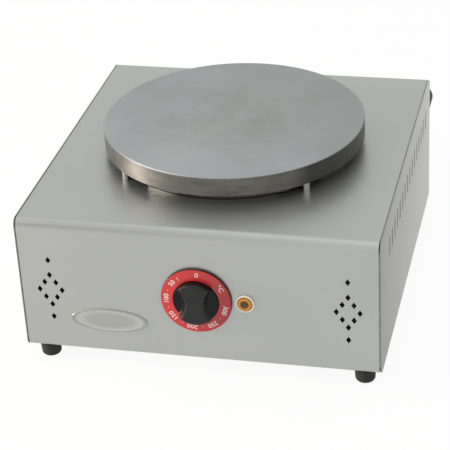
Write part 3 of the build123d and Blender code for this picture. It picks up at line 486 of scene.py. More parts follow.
@dataclass(frozen=True)
class Moulding(Finish):
    """Moulded plastic, rubber, glaze, print or board: a fine skin texture and a little dust."""

    colour: Colour
    roughness: float = 0.4
    skin: float = 0.05
    cells: float = 1500.0
    coat: float = 0.0
    # One fade's colour and coat: on the knob, handling polish with painted light on the bar's crest; on the
    # dial ring, painted shade.
    polish_and_shade: Fade | None = None
    gloss: float = 0.5
    dust: Colour = (0.35, 0.34, 0.32)
    dust_share: float = 0.04

    def shade(self, g: Graph) -> Material:
        """Builds the skin and its dust."""
        fine = g.noise(self.cells, detail=2.0)
        patches = g.noise(60.0, detail=4.0)
        dusted = g.stretch(patches, 0.45, 2.0)
        colour, coat = self.colour, self.coat
        # Polish and painted light on the knob, painted shade on the dial ring.
        if self.polish_and_shade:
            fade_share = self.polish_and_shade.mask(g)
            colour, coat = g.blend(fade_share, colour, self.polish_and_shade.colour), fade_share * coat
        return g.finish(
            Base_Color=g.blend(dusted * self.dust_share, colour, self.dust),
            Roughness=self.roughness + 0.08 * patches,
            Coat_Weight=coat,
            Specular_IOR_Level=self.gloss,
            Normal=g.bump(fine, self.skin, 0.08 * MM),
        )


@dataclass(frozen=True)
class AmberJewel(Finish):
    """The unlit lamp's amber jewel: nearly black in its well, a painted shade for the dark hollow seen
    through it, amber toward its rim.
    """

    centre: Vector
    radius: float
    # Painted shade of the lamp's dark hollow.
    well: Colour = (0.078, 0.048, 0.014)
    band: Colour = (0.62, 0.255, 0.035)
    rim: Colour = (0.34, 0.120, 0.016)
    places: tuple[float, ...] = (0.48, 0.64, 0.88, 1.0)

    def shade(self, g: Graph) -> Material:
        """Builds the colour by distance from the lamp's axis."""
        share = g.reach((1.0, 0.0, 1.0), self.centre) / self.radius
        # The well's colour is painted shade.
        tone = g.ramp(share, self.places, self.well, self.band, self.band, self.rim)
        specks = g.noise(700.0, detail=2.0)
        return g.finish(
            Base_Color=g.blend(g.stretch(specks, 0.5, 1.2), tone, self.band),
            Roughness=0.22 + 0.12 * specks,
            Specular_IOR_Level=0.3,
            Normal=g.bump(specks, 0.05, 0.1 * MM),
        )


BRASS = WorkedMetal("turned_brass", (0.72, 0.52, 0.24))


# ---- meshes
def new_object(name: str, data: bpy.types.ID) -> bpy.types.Object:
    """Puts a new object with its data in the scene."""
    made = bpy.data.objects.new(name, data)
    bpy.context.scene.collection.objects.link(made)
    return made


def add_piece(
    name: str,
    mesh: Mesh,
    body: str,
    finish: Finish,
    instead_of: tuple[str, ...] = (),
    crease: float = 32.0,
) -> None:
    """Turns a finished bmesh into a piece that rides on a body.

    Args:
        name: The piece's name.
        mesh: Its geometry, in place.
        body: The body that it moves with.
        finish: Its finish.
        instead_of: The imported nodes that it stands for.
        crease: The angle in degrees past which an edge stays sharp.
    """
    data = bpy.data.meshes.new(name)
    mesh.to_mesh(data)
    mesh.free()
    data.shade_smooth()
    data.set_sharp_from_angle(angle=radians(crease))
    data.materials.append(finish.material())
    piece = new_object(name, data)
    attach(piece, body)
    if instead_of:
        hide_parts(*instead_of)


def arc(centre: Pair, radius: float, start: float, end: float, steps: int = 5) -> Profile:
    """Gives the points of an arc from one angle in degrees to another, 0 pointing outward and 90 up."""
    turns = [radians(start + (end - start) * n / steps) for n in range(steps + 1)]
    return [(centre[0] + radius * cos(t), centre[1] + radius * sin(t)) for t in turns]


def turned(profile: Profile, steps: int = 96, closed: bool = False) -> Mesh:
    """Spins a profile about +Z.

    Args:
        profile: (radius, height) points.
        steps: How many sides the spin has.
        closed: Whether the last point joins the first.

    Returns:
        The closed, outward-facing mesh.
    """
    mesh = bmesh.new()
    points = [mesh.verts.new((r, 0.0, h)) for r, h in profile]
    ends = points[1:] + (points[:1] if closed else [])
    edges = [mesh.edges.new(pair) for pair in zip(points, ends)]
    about = {"cent": (0.0, 0.0, 0.0), "axis": (0.0, 0.0, 1.0), "angle": tau}
    bmesh.ops.spin(mesh, geom=points + edges, steps=steps, use_merge=True, **about)
    bmesh.ops.remove_doubles(mesh, verts=mesh.verts, dist=1e-6)
    bmesh.ops.recalc_face_normals(mesh, faces=mesh.faces)
    return mesh


def reshape(mesh: Mesh, rule: Callable[[Vector], Vector]) -> None:
    """Moves every vertex of a mesh by a rule."""
    for vertex in mesh.verts:
        vertex.co = rule(vertex.co)


def stand(mesh: Mesh, turn: float, place: Vector | Triple) -> Mesh:
    """Tips a mesh about X and sets it in place.

    Args:
        mesh: The mesh, built about +Z.
        turn: Degrees about X: 90 faces it to the user, -90 to the rear.
        place: Where its origin goes.

    Returns:
        The same mesh.
    """
    matrix = Matrix.Translation(place) @ Matrix.Rotation(radians(turn), 4, "X")
    bmesh.ops.transform(mesh, matrix=matrix, verts=mesh.verts)
    return mesh


def ease(value: float, low: float, high: float) -> float:
    """Rises smoothly from 0 at low to 1 at high."""
    share = min(max((value - low) / (high - low), 0.0), 1.0)
    return share * share * (3.0 - 2.0 * share)


# ---- sub-assemblies
@dataclass
class SubAssembly:
    """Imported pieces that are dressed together, some of them replaced by finer ones."""

    nodes: dict[str, bpy.types.Object]

    def dress(self, finish: Finish, *names: str) -> list[str]:
        """Gives carried-over pieces one finish.

        Args:
            finish: The finish they get.
            *names: The pieces to dress.

        Returns:
            Their names.
        """
        for name in names:
            materials = self.nodes[name].data.materials
            materials.clear()
            materials.append(finish.material())
        return list(names)

    def build(self) -> list[str]:
        """Builds and dresses the pieces.

        Returns:
            The names of the pieces that show.
        """
        raise NotImplementedError


@dataclass
class Casing(SubAssembly):
    """The sheet casing with its badge and fasteners."""

    sheet: float = 1.2 * MM
    badge_edge: float = 0.35 * MM
    badge_rim: float = 2.2 * MM
    badge_field: float = 0.65 * MM
    badge_crown: float = 0.25 * MM
    badge_slope: float = 0.2 * MM
    seam_depth: float = 0.2 * MM
    slot_first: float = 77.0 * MM
    slot_pitch: float = 23.8 * MM
    slot_count: int = 16
    slot_length: float = 28.0 * MM
    slot_drop: float = 45.0 * MM
    bend_fade: Pair = (11.0 * MM, 6.0 * MM)
    top_fade: Pair = (2.0 * MM, 0.4 * MM)
    hem_fade: Pair = (4.5 * MM, 0.5 * MM)

    def badge(self) -> None:
        """Presses the blank oval badge: a rounded rim round a faintly crowned field."""
        low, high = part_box("badge_plate")
        centre = (low + high) / 2
        long, short, thick = (high.x - low.x) / 2, (high.z - low.z) / 2, high.y - low.y
        rim = self.badge_rim / 2
        rise = thick - self.badge_edge
        profile = [(0.0, 0.0), (short, 0.0), (short, self.badge_edge)]
        for bend in (radians(12.0 * n) for n in range(1, 12)):
            profile.append((short - rim + rim * cos(bend), self.badge_edge + rise * sin(bend)))
        foot = short - self.badge_rim - self.badge_slope
        for out in (1 - n / 8 for n in range(9)):
            profile.append((foot * out, self.badge_field + self.badge_crown * (1 - out**2)))
        mesh = turned(profile, 160)

        def oval(point: Vector) -> Vector:
            """Draws the round pressing out to the badge's oval, with a rim of even width."""
            reach, turn = hypot(point.x, point.y), atan2(point.y, point.x)
            inward = min(short - reach, self.badge_rim)
            share = min(reach / (short - self.badge_rim), 1.0)
            square = Vector((short * cos(turn), long * sin(turn), 0.0)).normalized()
            flat = Vector((long * cos(turn), short * sin(turn), 0.0)) - square * inward
            return Vector((flat.x * share, flat.y * share, point.z))

        reshape(mesh, oval)
        stand(mesh, 90.0, (centre.x, high.y, centre.z))
        finish = EtchedOval("badge_etched", centre, long, short)
        add_piece("badge_pressing", mesh, "casing", finish, ("badge_plate",), crease=70.0)

    def build(self) -> list[str]:
        """Dresses the casing and presses its badge."""
        low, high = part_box("side_panel_right")
        # Painted shade: bend lays a darker band along the front's top bend, strongest at the left, and top
        # makes the top face darker than the front. hem darkens the sheet towards its bottom edge.
        left = Fade("X", high.x, -high.x * 0.85)
        bend = Fade("Z", *(high.z - drop for drop in self.bend_fade), (0.340, 0.347, 0.330), left)
        top = Fade("Z", *(high.z - drop for drop in self.top_fade), (0.425, 0.436, 0.418))
        hem = Fade("Z", *(low.z + rise for rise in self.hem_fade), (0.36, 0.368, 0.348))
        across = SatinSheet("satin_sheet_across", Grain.ACROSS, fades=(bend, top, hem))
        seam = high.x - self.sheet - self.seam_depth
        # Painted light and shade: the side panels run from dark at the front to light at the rear.
        rear = Fade("Y", low.y, high.y, (0.555, 0.561, 0.533))
        first = low.y + self.slot_first
        last = first + self.slot_pitch * (self.slot_count - 1)
        middle = high.z - self.slot_drop
        half = self.slot_length / 2
        # Painted shade in front of the side panels' slots.
        louvre_shade = LouvreShade(first, last, self.slot_pitch, middle - half, middle + half)
        looks = {"fades": (rear,), "mill_inside": seam, "edge": 0.87, "louvre_shade": louvre_shade}
        deep = SatinSheet("satin_sheet_deep", Grain.DEEP, (0.280, 0.287, 0.269), **looks)
        zinc = WorkedMetal("zinc_plate", (0.55, 0.55, 0.52), 0.28)
        names = self.dress(across, "front_top_cover", "back_panel", "base_plate")
        names += self.dress(deep, "side_panel_left", "side_panel_right")
        names += self.dress(zinc, "back_panel_screws", "base_plate_screws", "foot_bolts", "foot_nuts")
        names += self.dress(zinc, "thermostat_screws", "terminal_block_screws", "earth_terminal")
        self.badge()
        return names + ["badge_pressing"]


@dataclass
class HotPlate(SubAssembly):
    """The cast plate on its pins, with the heater below it."""

    def build(self) -> list[str]:
        """Dresses the plate, its carriers and its heater."""
        low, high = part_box("hot_plate")
        pins = sorted(n for n in self.nodes if n.startswith("support_pin_"))
        # Painted light and shade: the pressed steel is pale to stand for the bright reflection on the pan's
        # left, and darkens toward the right, where the pan lies in shade.
        shaded_right_pan = Fade("X", -66.0 * MM, -40.0 * MM, (0.12, 0.115, 0.105))
        pressed = WorkedMetal("pressed_steel", (0.88, 0.85, 0.79), 0.24, cells=60.0, fade=shaded_right_pan)
        galvanised = WorkedMetal("galvanised_steel", (0.44, 0.45, 0.45), 0.40, cells=90.0)
        black = WorkedMetal("black_bolt_steel", (0.22, 0.22, 0.22))
        sheath = WorkedMetal("oxidised_sheath", (0.09, 0.09, 0.10), 0.55)
        copper = WorkedMetal("drawn_copper", (0.62, 0.36, 0.24), 0.30)
        fibre = Moulding("ceramic_fibre", (0.62, 0.60, 0.55), 0.85, skin=0.5, cells=500.0)
        names = self.dress(TurnedIron("turned_iron", (low + high) / 2, high.z), "hot_plate")
        names += self.dress(WorkedMetal("turned_steel", (0.58, 0.57, 0.54), 0.24), *pins)
        names += self.dress(pressed, "heater_pan", "element_clamp", "bulb_clips")
        names += self.dress(galvanised, "bearer_rail_front", "bearer_rail_rear")
        names += self.dress(black, "centre_stud", "centre_stud_nuts")
        names += self.dress(sheath, "heating_element_inner", "heating_element_outer")
        names += self.dress(copper, "sensor_bulb", "capillary_tube")
        return names + self.dress(fibre, "insulation_disc")


class Mark(Enum):
    """What the dial's scale shows, with its place in degrees clockwise from the top."""

    OFF = ("0", 4.0)
    UNIT = ("°C", 57.0)
    T300 = ("300", 106.0)
    T250 = ("250", 148.0)
    T200 = ("200", 190.0)
    T150 = ("150", 232.0)
    T100 = ("100", 272.0)
    T50 = ("50", 309.0)


@dataclass
class Dial(SubAssembly):
    """The turning knob: moulded grip, printed ring, insert and spindle."""

    flange: float = 1.5 * MM
    flange_edge: float = 0.6 * MM
    flange_inset: float = 0.12 * MM
    grip_radius: float = 29.4 * MM
    grip_foot_radius: float = 30.0 * MM
    grip_base: float = 3.0 * MM
    grip_rise: float = 10.5 * MM
    grip_edge: float = 1.3 * MM
    bar_round: float = 4.5 * MM
    bar_drop: float = 2.6 * MM
    scoop_radius: float = 34.0 * MM
    waist: float = 22.0 * MM
    scoop_wall: Pair = (-6.5 * MM, 1.8 * MM)
    bar_crown: float = 0.5 * MM
    recess_radius: float = 26.0 * MM
    recess_depth: float = 2.3 * MM
    insert_depth: float = 3.45 * MM
    hub_radius: float = 5.5 * MM
    hub_wall: float = 3.0 * MM
    ring_inner: float = 30.3 * MM
    ring_rim: float = 0.8 * MM
    letter_height: float = 6.4 * MM
    letter_size: float = 1.35
    letter_weight: float = 0.022
    letter_proud: float = 0.08 * MM
    letter_sunk: float = 0.15 * MM
    letter_reach: float = 38.2 * MM
    letter_width: float = 1.1
    dot_radius: float = 0.62 * MM
    tick_angle: float = 325.0
    tick_width: float = 0.8 * MM
    tick_length: float = 5.0 * MM
    rings: int = 52
    sides: int = 168

    def __post_init__(self) -> None:
        """Reads the ring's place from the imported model."""
        low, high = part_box("dial_ring")
        self.centre = (low + high) / 2
        self.outer = (high.x - low.x) / 2
        self.ring_front, self.ring_back = low.y, high.y

    def face_at(self, reach: float) -> float:
        """Gives the Y of the ring's face at a distance from its axis."""
        share = (reach - self.ring_inner) / (self.outer - self.ring_inner)
        return self.ring_front + (self.ring_back - self.ring_rim - self.ring_front) * share

    def grip_height(self, x: float, z: float) -> float:
        """Gives how far the grip's face stands above its scoops' floor.

        Args:
            x: Distance to the right of the knob's axis.
            z: Distance above the knob's axis.

        Returns:
            The height in metres.
        """
        middle = self.waist / 2 + self.scoop_radius
        clear = min(hypot(x - side * middle, z) - self.scoop_radius for side in (-1, 1))
        bar = ease(clear, *self.scoop_wall)
        reach = hypot(x, z)
        edge = min(max((reach - self.grip_radius + self.bar_round) / self.bar_round, 0.0), 1.0)
        crown = self.bar_crown * (reach / self.grip_radius) ** 2
        return (self.grip_rise - crown - self.bar_drop * (1.0 - sqrt(1.0 - edge * edge))) * bar

    def grip(self) -> None:
        """Moulds the flange, the round base and the waisted bar between its two scoops."""
        top = self.flange + self.grip_base
        flat = self.grip_radius - self.grip_edge
        face = [(flat * n / self.rings, top) for n in range(self.rings + 1)]
        shoulder = arc((flat, top - self.grip_edge), self.grip_edge, 90.0, 0.0, 6)[1:]
        crest = (self.outer - self.flange_inset, self.flange - self.flange_edge)
        rim = arc(crest, self.flange_edge, 90.0, -90.0, 6)
        foot = [(self.grip_foot_radius, self.flange)]
        hub, deep = self.hub_radius + self.hub_wall, self.insert_depth
        back = [(self.recess_radius, 0.0), (self.recess_radius, self.recess_depth), (hub, self.recess_depth)]
        back += [(hub, 0.0), (self.hub_radius, 0.0), (self.hub_radius, deep), (0.0, deep)]
        mesh = turned(face + shoulder + foot + rim + back, self.sides)
        floor = top - self.grip_edge - SLACK

        def mould(point: Vector) -> Vector:
            """Lifts the front of the grip to its moulded height."""
            inside = hypot(point.x, point.y) <= self.grip_radius + SLACK
            lift = self.grip_height(point.x, point.y) if inside and point.z >= floor else 0.0
            return Vector((point.x, point.y, point.z + lift))

        reshape(mesh, mould)
        _, flange_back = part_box("knob_grip")
        stand(mesh, 90.0, (self.centre.x, flange_back.y, self.centre.z))
        front = flange_back.y - top
        # Handling polish with painted light: the bar's crest is lighter and glossier than its scoops.
        polish_and_shade = Fade("Y", front - 1.0 * MM, front - self.grip_rise, (0.010, 0.011, 0.0105))
        looks = {"roughness": 0.22, "skin": 0.02, "coat": 0.28, "gloss": 0.18, "dust_share": 0.02}
        finish = Moulding("black_phenolic", (0.004, 0.005, 0.005), polish_and_shade=polish_and_shade, **looks)
        add_piece("knob_moulding", mesh, "knob", finish, ("knob_grip",), crease=60.0)

    def print_on_ring(self, mesh: Mesh) -> None:
        """Lays a flat print onto the ring's sloping face.

        Args:
            mesh: Geometry about the ring's axis whose Y is 0 at its front and 1 at its back.
        """
        for vertex in mesh.verts:
            reach = hypot(vertex.co.x, vertex.co.z)
            depth = vertex.co.y * (self.letter_sunk + self.letter_proud) - self.letter_proud
            vertex.co.y = self.face_at(reach) + depth
        bmesh.ops.translate(mesh, verts=mesh.verts, vec=(self.centre.x, 0.0, self.centre.z))
        bmesh.ops.recalc_face_normals(mesh, faces=mesh.faces)

    def on_ring(self, angle: float, reach: float) -> Matrix:
        """Gives the place of an upright mark: clockwise angle in degrees and distance from the axis."""
        turn = Matrix.Rotation(radians(angle), 4, "Y")
        return Matrix.Translation((0.0, 0.5, 0.0)) @ turn @ Matrix.Translation((0.0, 0.0, reach))

    def lettering(self) -> Mesh:
        """Builds the scale's figures, feet toward the axis, as one closed print."""
        whole = bmesh.new()
        upright = UPRIGHT @ Matrix.Diagonal((self.letter_width, 1.0, 1.0, 1.0))
        for mark in Mark:
            text, angle = mark.value
            curve = bpy.data.curves.new("figure", "FONT")
            curve.body = text
            curve.size = self.letter_height * self.letter_size
            curve.align_x = curve.align_y = "CENTER"
            curve.offset = self.letter_weight * self.letter_height
            curve.resolution_u = 4
            curve.extrude = 0.5
            figure = new_object("figure", curve)
            data = bpy.data.meshes.new_from_object(figure)
            bpy.data.objects.remove(figure)
            bpy.data.curves.remove(curve)
            known = set(whole.verts)
            whole.from_mesh(data)
            bpy.data.meshes.remove(data)
            fresh = [v for v in whole.verts if v not in known]
            bmesh.ops.transform(whole, matrix=self.on_ring(angle, self.letter_reach) @ upright, verts=fresh)
        bmesh.ops.remove_doubles(whole, verts=whole.verts, dist=1e-6)
        return whole

    def scale_marks(self) -> Mesh:
        """Builds the dots half way between the figures and the tick before the 0."""
        whole = bmesh.new()
        angles = [mark.value[1] for mark in Mark if mark not in (Mark.OFF, Mark.UNIT)]
        disc = {"cap_ends": True, "segments": 16, "radius1": self.dot_radius, "radius2": self.dot_radius}
        for first, second in zip(angles, angles[1:]):
            dot = self.on_ring((first + second) / 2, self.letter_reach) @ UPRIGHT
            bmesh.ops.create_cone(whole, depth=1.0, matrix=dot, **disc)
        stroke = Matrix.Diagonal((self.tick_width, 1.0, self.tick_length, 1.0))
        tick = self.on_ring(self.tick_angle, self.letter_reach) @ stroke
        bmesh.ops.create_cube(whole, size=1.0, matrix=tick)
        return whole

    def build(self) -> list[str]:
        """Builds and dresses the knob."""
        self.grip()
        # Painted shade: the red ring darkens toward its right.
        worn_and_shaded = Fade("X", -15.0 * MM, 42.0 * MM, (0.36, 0.020, 0.018))
        ring = Moulding("red_gloss_print", (0.57, 0.028, 0.030), 0.18, 0.01, coat=0.1, polish_and_shade=worn_and_shaded)
        ink = Moulding("white_ink", (0.74, 0.61, 0.58), 0.35)
        names = self.dress(ring, "dial_ring") + self.dress(BRASS, "knob_insert")
        names += self.dress(WorkedMetal("spindle_steel", (0.55, 0.55, 0.53)), "thermostat_shaft")
        for name, mesh in (("dial_figures", self.lettering()), ("dial_marks", self.scale_marks())):
            self.print_on_ring(mesh)
            add_piece(name, mesh, "knob", ink)
        return names + ["knob_moulding", "dial_figures", "dial_marks"]


@dataclass
class PilotLamp(SubAssembly):
    """The amber lamp in its pale bezel."""

    barrel_radius: float = 6.4 * MM
    bore: float = 4.9 * MM
    bezel_height: float = 3.2 * MM
    chamfer: Pair = (0.27 * MM, 0.36 * MM)
    seat: float = 0.6 * MM
    well_radius: float = 5.0 * MM
    lens_lap: float = 0.6 * MM
    lens_gap: float = 0.3 * MM
    lens_height: float = 3.6 * MM
    lens_edge: float = 1.4 * MM
    lens_round: float = 1.8 * MM
    well_lip: float = 0.6 * MM
    well_depth: float = 1.3 * MM
    well_dish: float = 0.5 * MM
    flutes: int = 20
    flute_depth: float = 0.22 * MM
    flute_run: float = 0.8 * MM
    flute_foot: float = 1.0 * MM

    def __post_init__(self) -> None:
        """Reads the lamp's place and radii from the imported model."""
        low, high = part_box("lamp_bezel")
        lens_low, lens_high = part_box("lamp_lens")
        self.centre = (low + high) / 2
        self.radius = (high.x - low.x) / 2
        self.face = low.y + self.bezel_height
        self.tail = high.y - self.face
        self.lens_radius = (lens_high.x - lens_low.x) / 2 + self.lens_lap
        self.lens_tail = lens_high.y - self.face

    def bezel(self) -> None:
        """Turns the rolled bezel ring and its barrel."""
        roll = (self.radius - self.lens_radius - self.lens_gap) / 2
        crest = (self.radius - roll, self.bezel_height - roll)
        inner = self.radius - 2 * roll
        profile = [(self.bore, -self.tail), (self.barrel_radius, -self.tail), (self.barrel_radius, 0.0)]
        profile += [(self.radius - self.chamfer[0], 0.0), (self.radius, self.chamfer[1])]
        profile += arc(crest, roll, 0.0, 180.0, 10)
        profile += [(inner, self.seat), (self.bore, self.seat)]
        mesh = stand(turned(profile, 96, closed=True), 90.0, (self.centre.x, self.face, self.centre.z))
        finish = Moulding("cream_bezel", (0.86, 0.79, 0.68), 0.22, 0.02, coat=0.5, dust_share=0.02)
        add_piece("lamp_bezel_ring", mesh, "casing", finish, ("lamp_bezel",))

    def jewel(self) -> None:
        """Moulds the lens: a fluted sloping band round a dished well, on its stem."""
        top = self.seat + self.lens_height
        stem = self.bore - self.lens_gap
        lip = self.well_radius + self.well_lip
        bend = self.lens_round
        profile = [(0.0, -self.lens_tail), (stem, -self.lens_tail), (stem, self.seat)]
        profile += [(self.lens_radius, self.seat), (self.lens_radius, self.seat + self.lens_edge)]
        profile += arc((self.lens_radius - bend, top - bend), bend, 15.0, 90.0, 5)
        profile += arc((lip, top - self.well_lip), self.well_lip, 90.0, 160.0, 3)
        for share in (n / 5 for n in range(1, 6)):
            depth = top - self.well_depth + self.well_dish * share
            profile.append((self.well_radius * (1.0 - share), depth))
        mesh = turned(profile, self.flutes * 6)

        def flute(point: Vector) -> Vector:
            """Sinks the flutes into the sloping band."""
            reach = hypot(point.x, point.y)
            sloping = point.z > self.seat + self.flute_foot and reach <= self.lens_radius
            band = ease(reach, lip, lip + self.flute_run) if sloping else 0.0
            wave = 0.5 - 0.5 * cos(self.flutes * atan2(point.y, point.x))
            return point - Vector((0.0, 0.0, self.flute_depth * band * wave))

        reshape(mesh, flute)
        stand(mesh, 90.0, (self.centre.x, self.face, self.centre.z))
        finish = AmberJewel("amber_jewel", self.centre, self.lens_radius)
        add_piece("lamp_jewel", mesh, "casing", finish, ("lamp_lens",))

    def build(self) -> list[str]:
        """Builds and dresses the lamp."""
        self.bezel()
        self.jewel()
        names = self.dress(WorkedMetal("plated_nut", (0.62, 0.60, 0.55), 0.2), "lamp_nut")
        names += self.dress(Moulding("lamp_plug_plastic", (0.62, 0.59, 0.52), 0.5), "lamp_tail")
        return names + ["lamp_bezel_ring", "lamp_jewel"]


@dataclass
class Supply(SubAssembly):
    """The thermostat, the terminal block and the cable gland."""

    mouth_radius: float = 6.2 * MM
    thread_radius: float = 12.65 * MM
    cone_radius: float = 10.3 * MM
    mouth_bevel: float = 0.8 * MM
    mouth_depth: float = 2.5 * MM
    foot_round: float = 1.0 * MM
    wall: float = 1.0 * MM
    shoulder: float = 7.0 * MM
    nose_round: float = 5.6 * MM
    flutes: int = 12
    flute_depth: float = 1.0 * MM
    flute_start: Pair = (2.5 * MM, 5.0 * MM)
    flute_end: Pair = (2.5 * MM, 8.0 * MM)

    def clamping_nut(self, finish: Finish) -> None:
        """Moulds the gland's fluted nut with its rounded nose."""
        low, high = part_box("gland_nut")
        centre = (low + high) / 2
        radius, length = (high.x - low.x) / 2, high.y - low.y
        foot, bend = self.foot_round, self.nose_round
        profile = [(self.thread_radius, 0.0)] + arc((radius - foot, foot), foot, -90.0, 0.0, 4)
        profile += [(radius, length * n / 12) for n in range(1, 9)]
        profile += arc((radius - bend, length - bend), bend, 0.0, 78.0, 8)
        profile += [(self.mouth_radius + self.mouth_bevel, length)]
        profile += [(self.mouth_radius, length - depth) for depth in (self.mouth_bevel, self.mouth_depth)]
        profile += [(self.cone_radius, length - self.shoulder), (self.thread_radius, length / 2)]
        mesh = turned(profile, self.flutes * 16, closed=True)

        def flute(point: Vector) -> Vector:
            """Draws the grip's flutes in from the outside."""
            reach = hypot(point.x, point.y)
            share = ease(point.z, *self.flute_start) * ease(length - point.z, *self.flute_end)
            wave = max(0.0, -cos(self.flutes * atan2(point.y, point.x))) ** 0.7
            outer = 1.0 if reach > self.thread_radius + self.wall else 0.0
            keep = 1.0 - outer * share * wave * self.flute_depth / reach
            return Vector((point.x * keep, point.y * keep, point.z))

        reshape(mesh, flute)
        stand(mesh, -90.0, (centre.x, low.y, centre.z))
        add_piece("gland_clamping_nut", mesh, "casing", finish, ("gland_nut",), crease=40.0)

    def build(self) -> list[str]:
        """Builds and dresses the supply."""
        nylon = Moulding("black_nylon", (0.008, 0.008, 0.008), 0.42, 0.08, gloss=0.25)
        rubber = Moulding("black_seal_rubber", (0.015, 0.015, 0.015), 0.7, 0.1)
        glaze = Moulding("glazed_porcelain", (0.78, 0.76, 0.70), 0.12, coat=0.4)
        self.clamping_nut(nylon)
        names = self.dress(nylon, "gland_body", "gland_locknut") + self.dress(rubber, "gland_seal")
        names += self.dress(Moulding("dark_moulding", (0.05, 0.05, 0.055), 0.45), "thermostat_body")
        names += self.dress(glaze, "terminal_block") + self.dress(BRASS, "terminal_screws")
        return names + ["gland_clamping_nut"]


@dataclass
class Feet(SubAssembly):
    """The four moulded rubber feet."""

    sole_radius: float = 13.0 * MM
    round_radius: float = 5.0 * MM
    bore_radius: float = 5.0 * MM
    bore_depth: float = 12.0 * MM
    bolt_radius: float = 2.65 * MM
    bore_bevel: float = 0.6 * MM
    collar: float = 2.2 * MM
    collar_inset: float = 0.9 * MM
    collar_bevel: float = 0.5 * MM
    waist_inset: float = 1.1 * MM
    groove: float = 0.5 * MM
    groove_width: float = 1.2 * MM

    def moulded_foot(self, name: str, finish: Finish) -> str:
        """Moulds one foot: collar, tapered waist, rounded sole and sunk bore.

        Args:
            name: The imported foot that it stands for.
            finish: Its rubber.

        Returns:
            The name of the moulded foot.
        """
        low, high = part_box(name)
        centre = (low + high) / 2
        radius, height = (high.x - low.x) / 2, high.z - low.z
        neck, waist = height - self.collar, radius - self.waist_inset
        bend, bevel = self.round_radius, self.collar_bevel
        profile = [(self.bolt_radius, self.bore_depth), (self.bore_radius, self.bore_depth)]
        profile += [(self.bore_radius, self.bore_bevel), (self.bore_radius + self.bore_bevel, 0.0)]
        profile += arc((self.sole_radius - bend, bend), bend, -90.0, -8.0, 8)
        profile += [(waist, neck - self.groove_width), (waist - self.groove, neck - self.groove_width / 2)]
        profile += [(radius - self.collar_inset, neck), (radius, neck + bevel), (radius, height - bevel)]
        profile += [(radius - bevel, height), (self.bolt_radius, height)]
        mesh = stand(turned(profile, 80, closed=True), 0.0, (centre.x, centre.y, low.z))
        add_piece("rubber_" + name, mesh, "casing", finish, (name,))
        return "rubber_" + name

    def build(self) -> list[str]:
        """Builds the feet."""
        rubber = Moulding("foot_rubber", (0.010, 0.010, 0.0105), 0.48, 0.10, gloss=0.35, dust_share=0.06)
        names = [f"foot_{end}_{side}" for end in ("front", "rear") for side in ("left", "right")]
        return [self.moulded_foot(name, rubber) for name in names]


# ---- studio
@dataclass(frozen=True)
class Softbox:
    """A square area light."""

    name: str
    place: Triple
    aim: Triple
    side: float
    power: float
    colour: Colour = WHITE

    def build(self) -> None:
        """Hangs the light in the scene."""
        light = bpy.data.lights.new(self.name, "AREA")
        light.shape, light.size = "SQUARE", self.side
        light.energy, light.color = self.power, self.colour
        lamp = new_object(self.name, light)
        lamp.location = self.place
        lamp.rotation_euler = (Vector(self.aim) - Vector(self.place)).to_track_quat("-Z", "Y").to_euler()


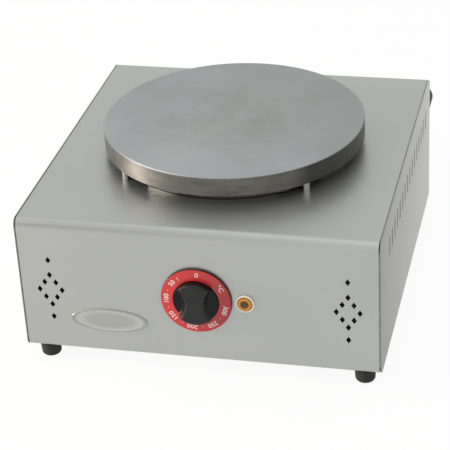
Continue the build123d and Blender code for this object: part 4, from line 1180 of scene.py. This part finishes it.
@dataclass
class Studio:
    """The pale floor, the soft light and the camera."""

    aim_from_casing: Triple = (-15.7 * MM, -16.4 * MM, -22.7 * MM)
    azimuth: float = 14.4985
    elevation: float = 29.476
    roll: float = -3.313
    distance: float = 2.3906
    lens: float = 138.89
    sensor: float = 36.0
    clip: Pair = (0.05, 50.0)
    floor_side: float = 12.0
    floor_colour: Colour = (0.94, 0.94, 0.935)
    floor_mottle: float = 0.985
    floor_glow: float = 0.92
    air_colour: Colour = (0.70, 0.705, 0.70)
    softboxes: tuple[Softbox, ...] = (
        Softbox("key_light", (-1.7, -0.9, 1.5), (0.0, 0.0, 0.1), 1.2, 14.0, (1.0, 0.96, 0.91)),
        Softbox("top_light", (0.2, 0.2, 2.6), (0.0, 0.0, 0.1), 2.6, 7.0),
        Softbox("side_light", (-1.92, -0.60, 0.28), (0.0, 0.0, 0.23), 0.26, 37.0, (1.0, 0.87, 0.78)),
    )

    @staticmethod
    def seen(g: Graph) -> Signal:
        """Is 1 for what the camera sees directly, in a mirror or through glass."""
        paths = ["Is Camera Ray", "Is Glossy Ray", "Is Transmission Ray"]
        camera, glossy, through = (g.node("ShaderNodeLightPath", output=path) for path in paths)
        return g.clamp(camera + glossy + through)

    def floor(self) -> None:
        """Lays the floor: near white where it is seen, with the object's shadow kept on it."""
        mesh = bmesh.new()
        bmesh.ops.create_grid(mesh, x_segments=1, y_segments=1, size=self.floor_side / 2)
        data = bpy.data.meshes.new("floor")
        mesh.to_mesh(data)
        mesh.free()
        floor = new_object("floor", data)
        g = Graph(bpy.data.materials.new("studio_floor"))
        grain = g.noise(3.0, detail=2.0)
        pale = tuple(c * self.floor_mottle for c in self.floor_colour)
        matt = g.node("ShaderNodeBsdfDiffuse", inputs={"Color": g.blend(grain, pale, self.floor_colour)})
        white = g.node("ShaderNodeEmission", inputs={"Color": WHITE})
        mixed = g.node("ShaderNodeMixShader", inputs={0: self.seen(g) * self.floor_glow, 1: matt, 2: white})
        g.node("ShaderNodeOutputMaterial", inputs={"Surface": mixed})
        data.materials.append(g.owner)

    def air(self) -> None:
        """Makes the backdrop: white where it is seen, a soft even light to everything else."""
        world = bpy.data.worlds.new("studio_air")
        bpy.context.scene.world = world
        g = Graph(world)
        plain = g.node("ShaderNodeBackground", inputs={"Color": self.air_colour})
        white = g.node("ShaderNodeBackground", inputs={"Color": WHITE})
        mixed = g.node("ShaderNodeMixShader", inputs={0: self.seen(g), 1: plain, 2: white})
        g.node("ShaderNodeOutputWorld", inputs={"Surface": mixed})

    def camera(self) -> None:
        """Sets the camera by its angles about a point beside the casing's middle."""
        near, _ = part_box("side_panel_left")
        _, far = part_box("side_panel_right")
        data = bpy.data.cameras.new("camera")
        data.lens, data.sensor_width = self.lens, self.sensor
        data.clip_start, data.clip_end = self.clip
        camera = new_object("camera", data)
        turn, lift = radians(self.azimuth), radians(self.elevation)
        back = Vector((sin(turn) * cos(lift), -cos(turn) * cos(lift), sin(lift)))
        tilt = Matrix.Rotation(radians(self.roll), 4, "Z")
        rolled = back.to_track_quat("Z", "Y").to_matrix().to_4x4() @ tilt
        place = (near + far) / 2 + Vector(self.aim_from_casing) + back * self.distance
        camera.matrix_world = Matrix.Translation(place) @ rolled
        bpy.context.scene.camera = camera

    def build(self) -> None:
        """Builds the whole studio."""
        self.camera()
        self.floor()
        self.air()
        for box in self.softboxes:
            box.build()
        bpy.context.scene.view_settings.view_transform = "Standard"


def main() -> None:
    """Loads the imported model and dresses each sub-assembly."""
    logging.basicConfig(level=logging.INFO, format="%(name)s: %(message)s")
    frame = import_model()
    nodes = frame["nodes"]
    Studio().build()
    for part in (Casing(nodes), HotPlate(nodes), Dial(nodes), PilotLamp(nodes), Supply(nodes), Feet(nodes)):
        for name in part.build():
            LOG.info("%s: %s", type(part).__name__, name)


if __name__ == "__main__":
    main()
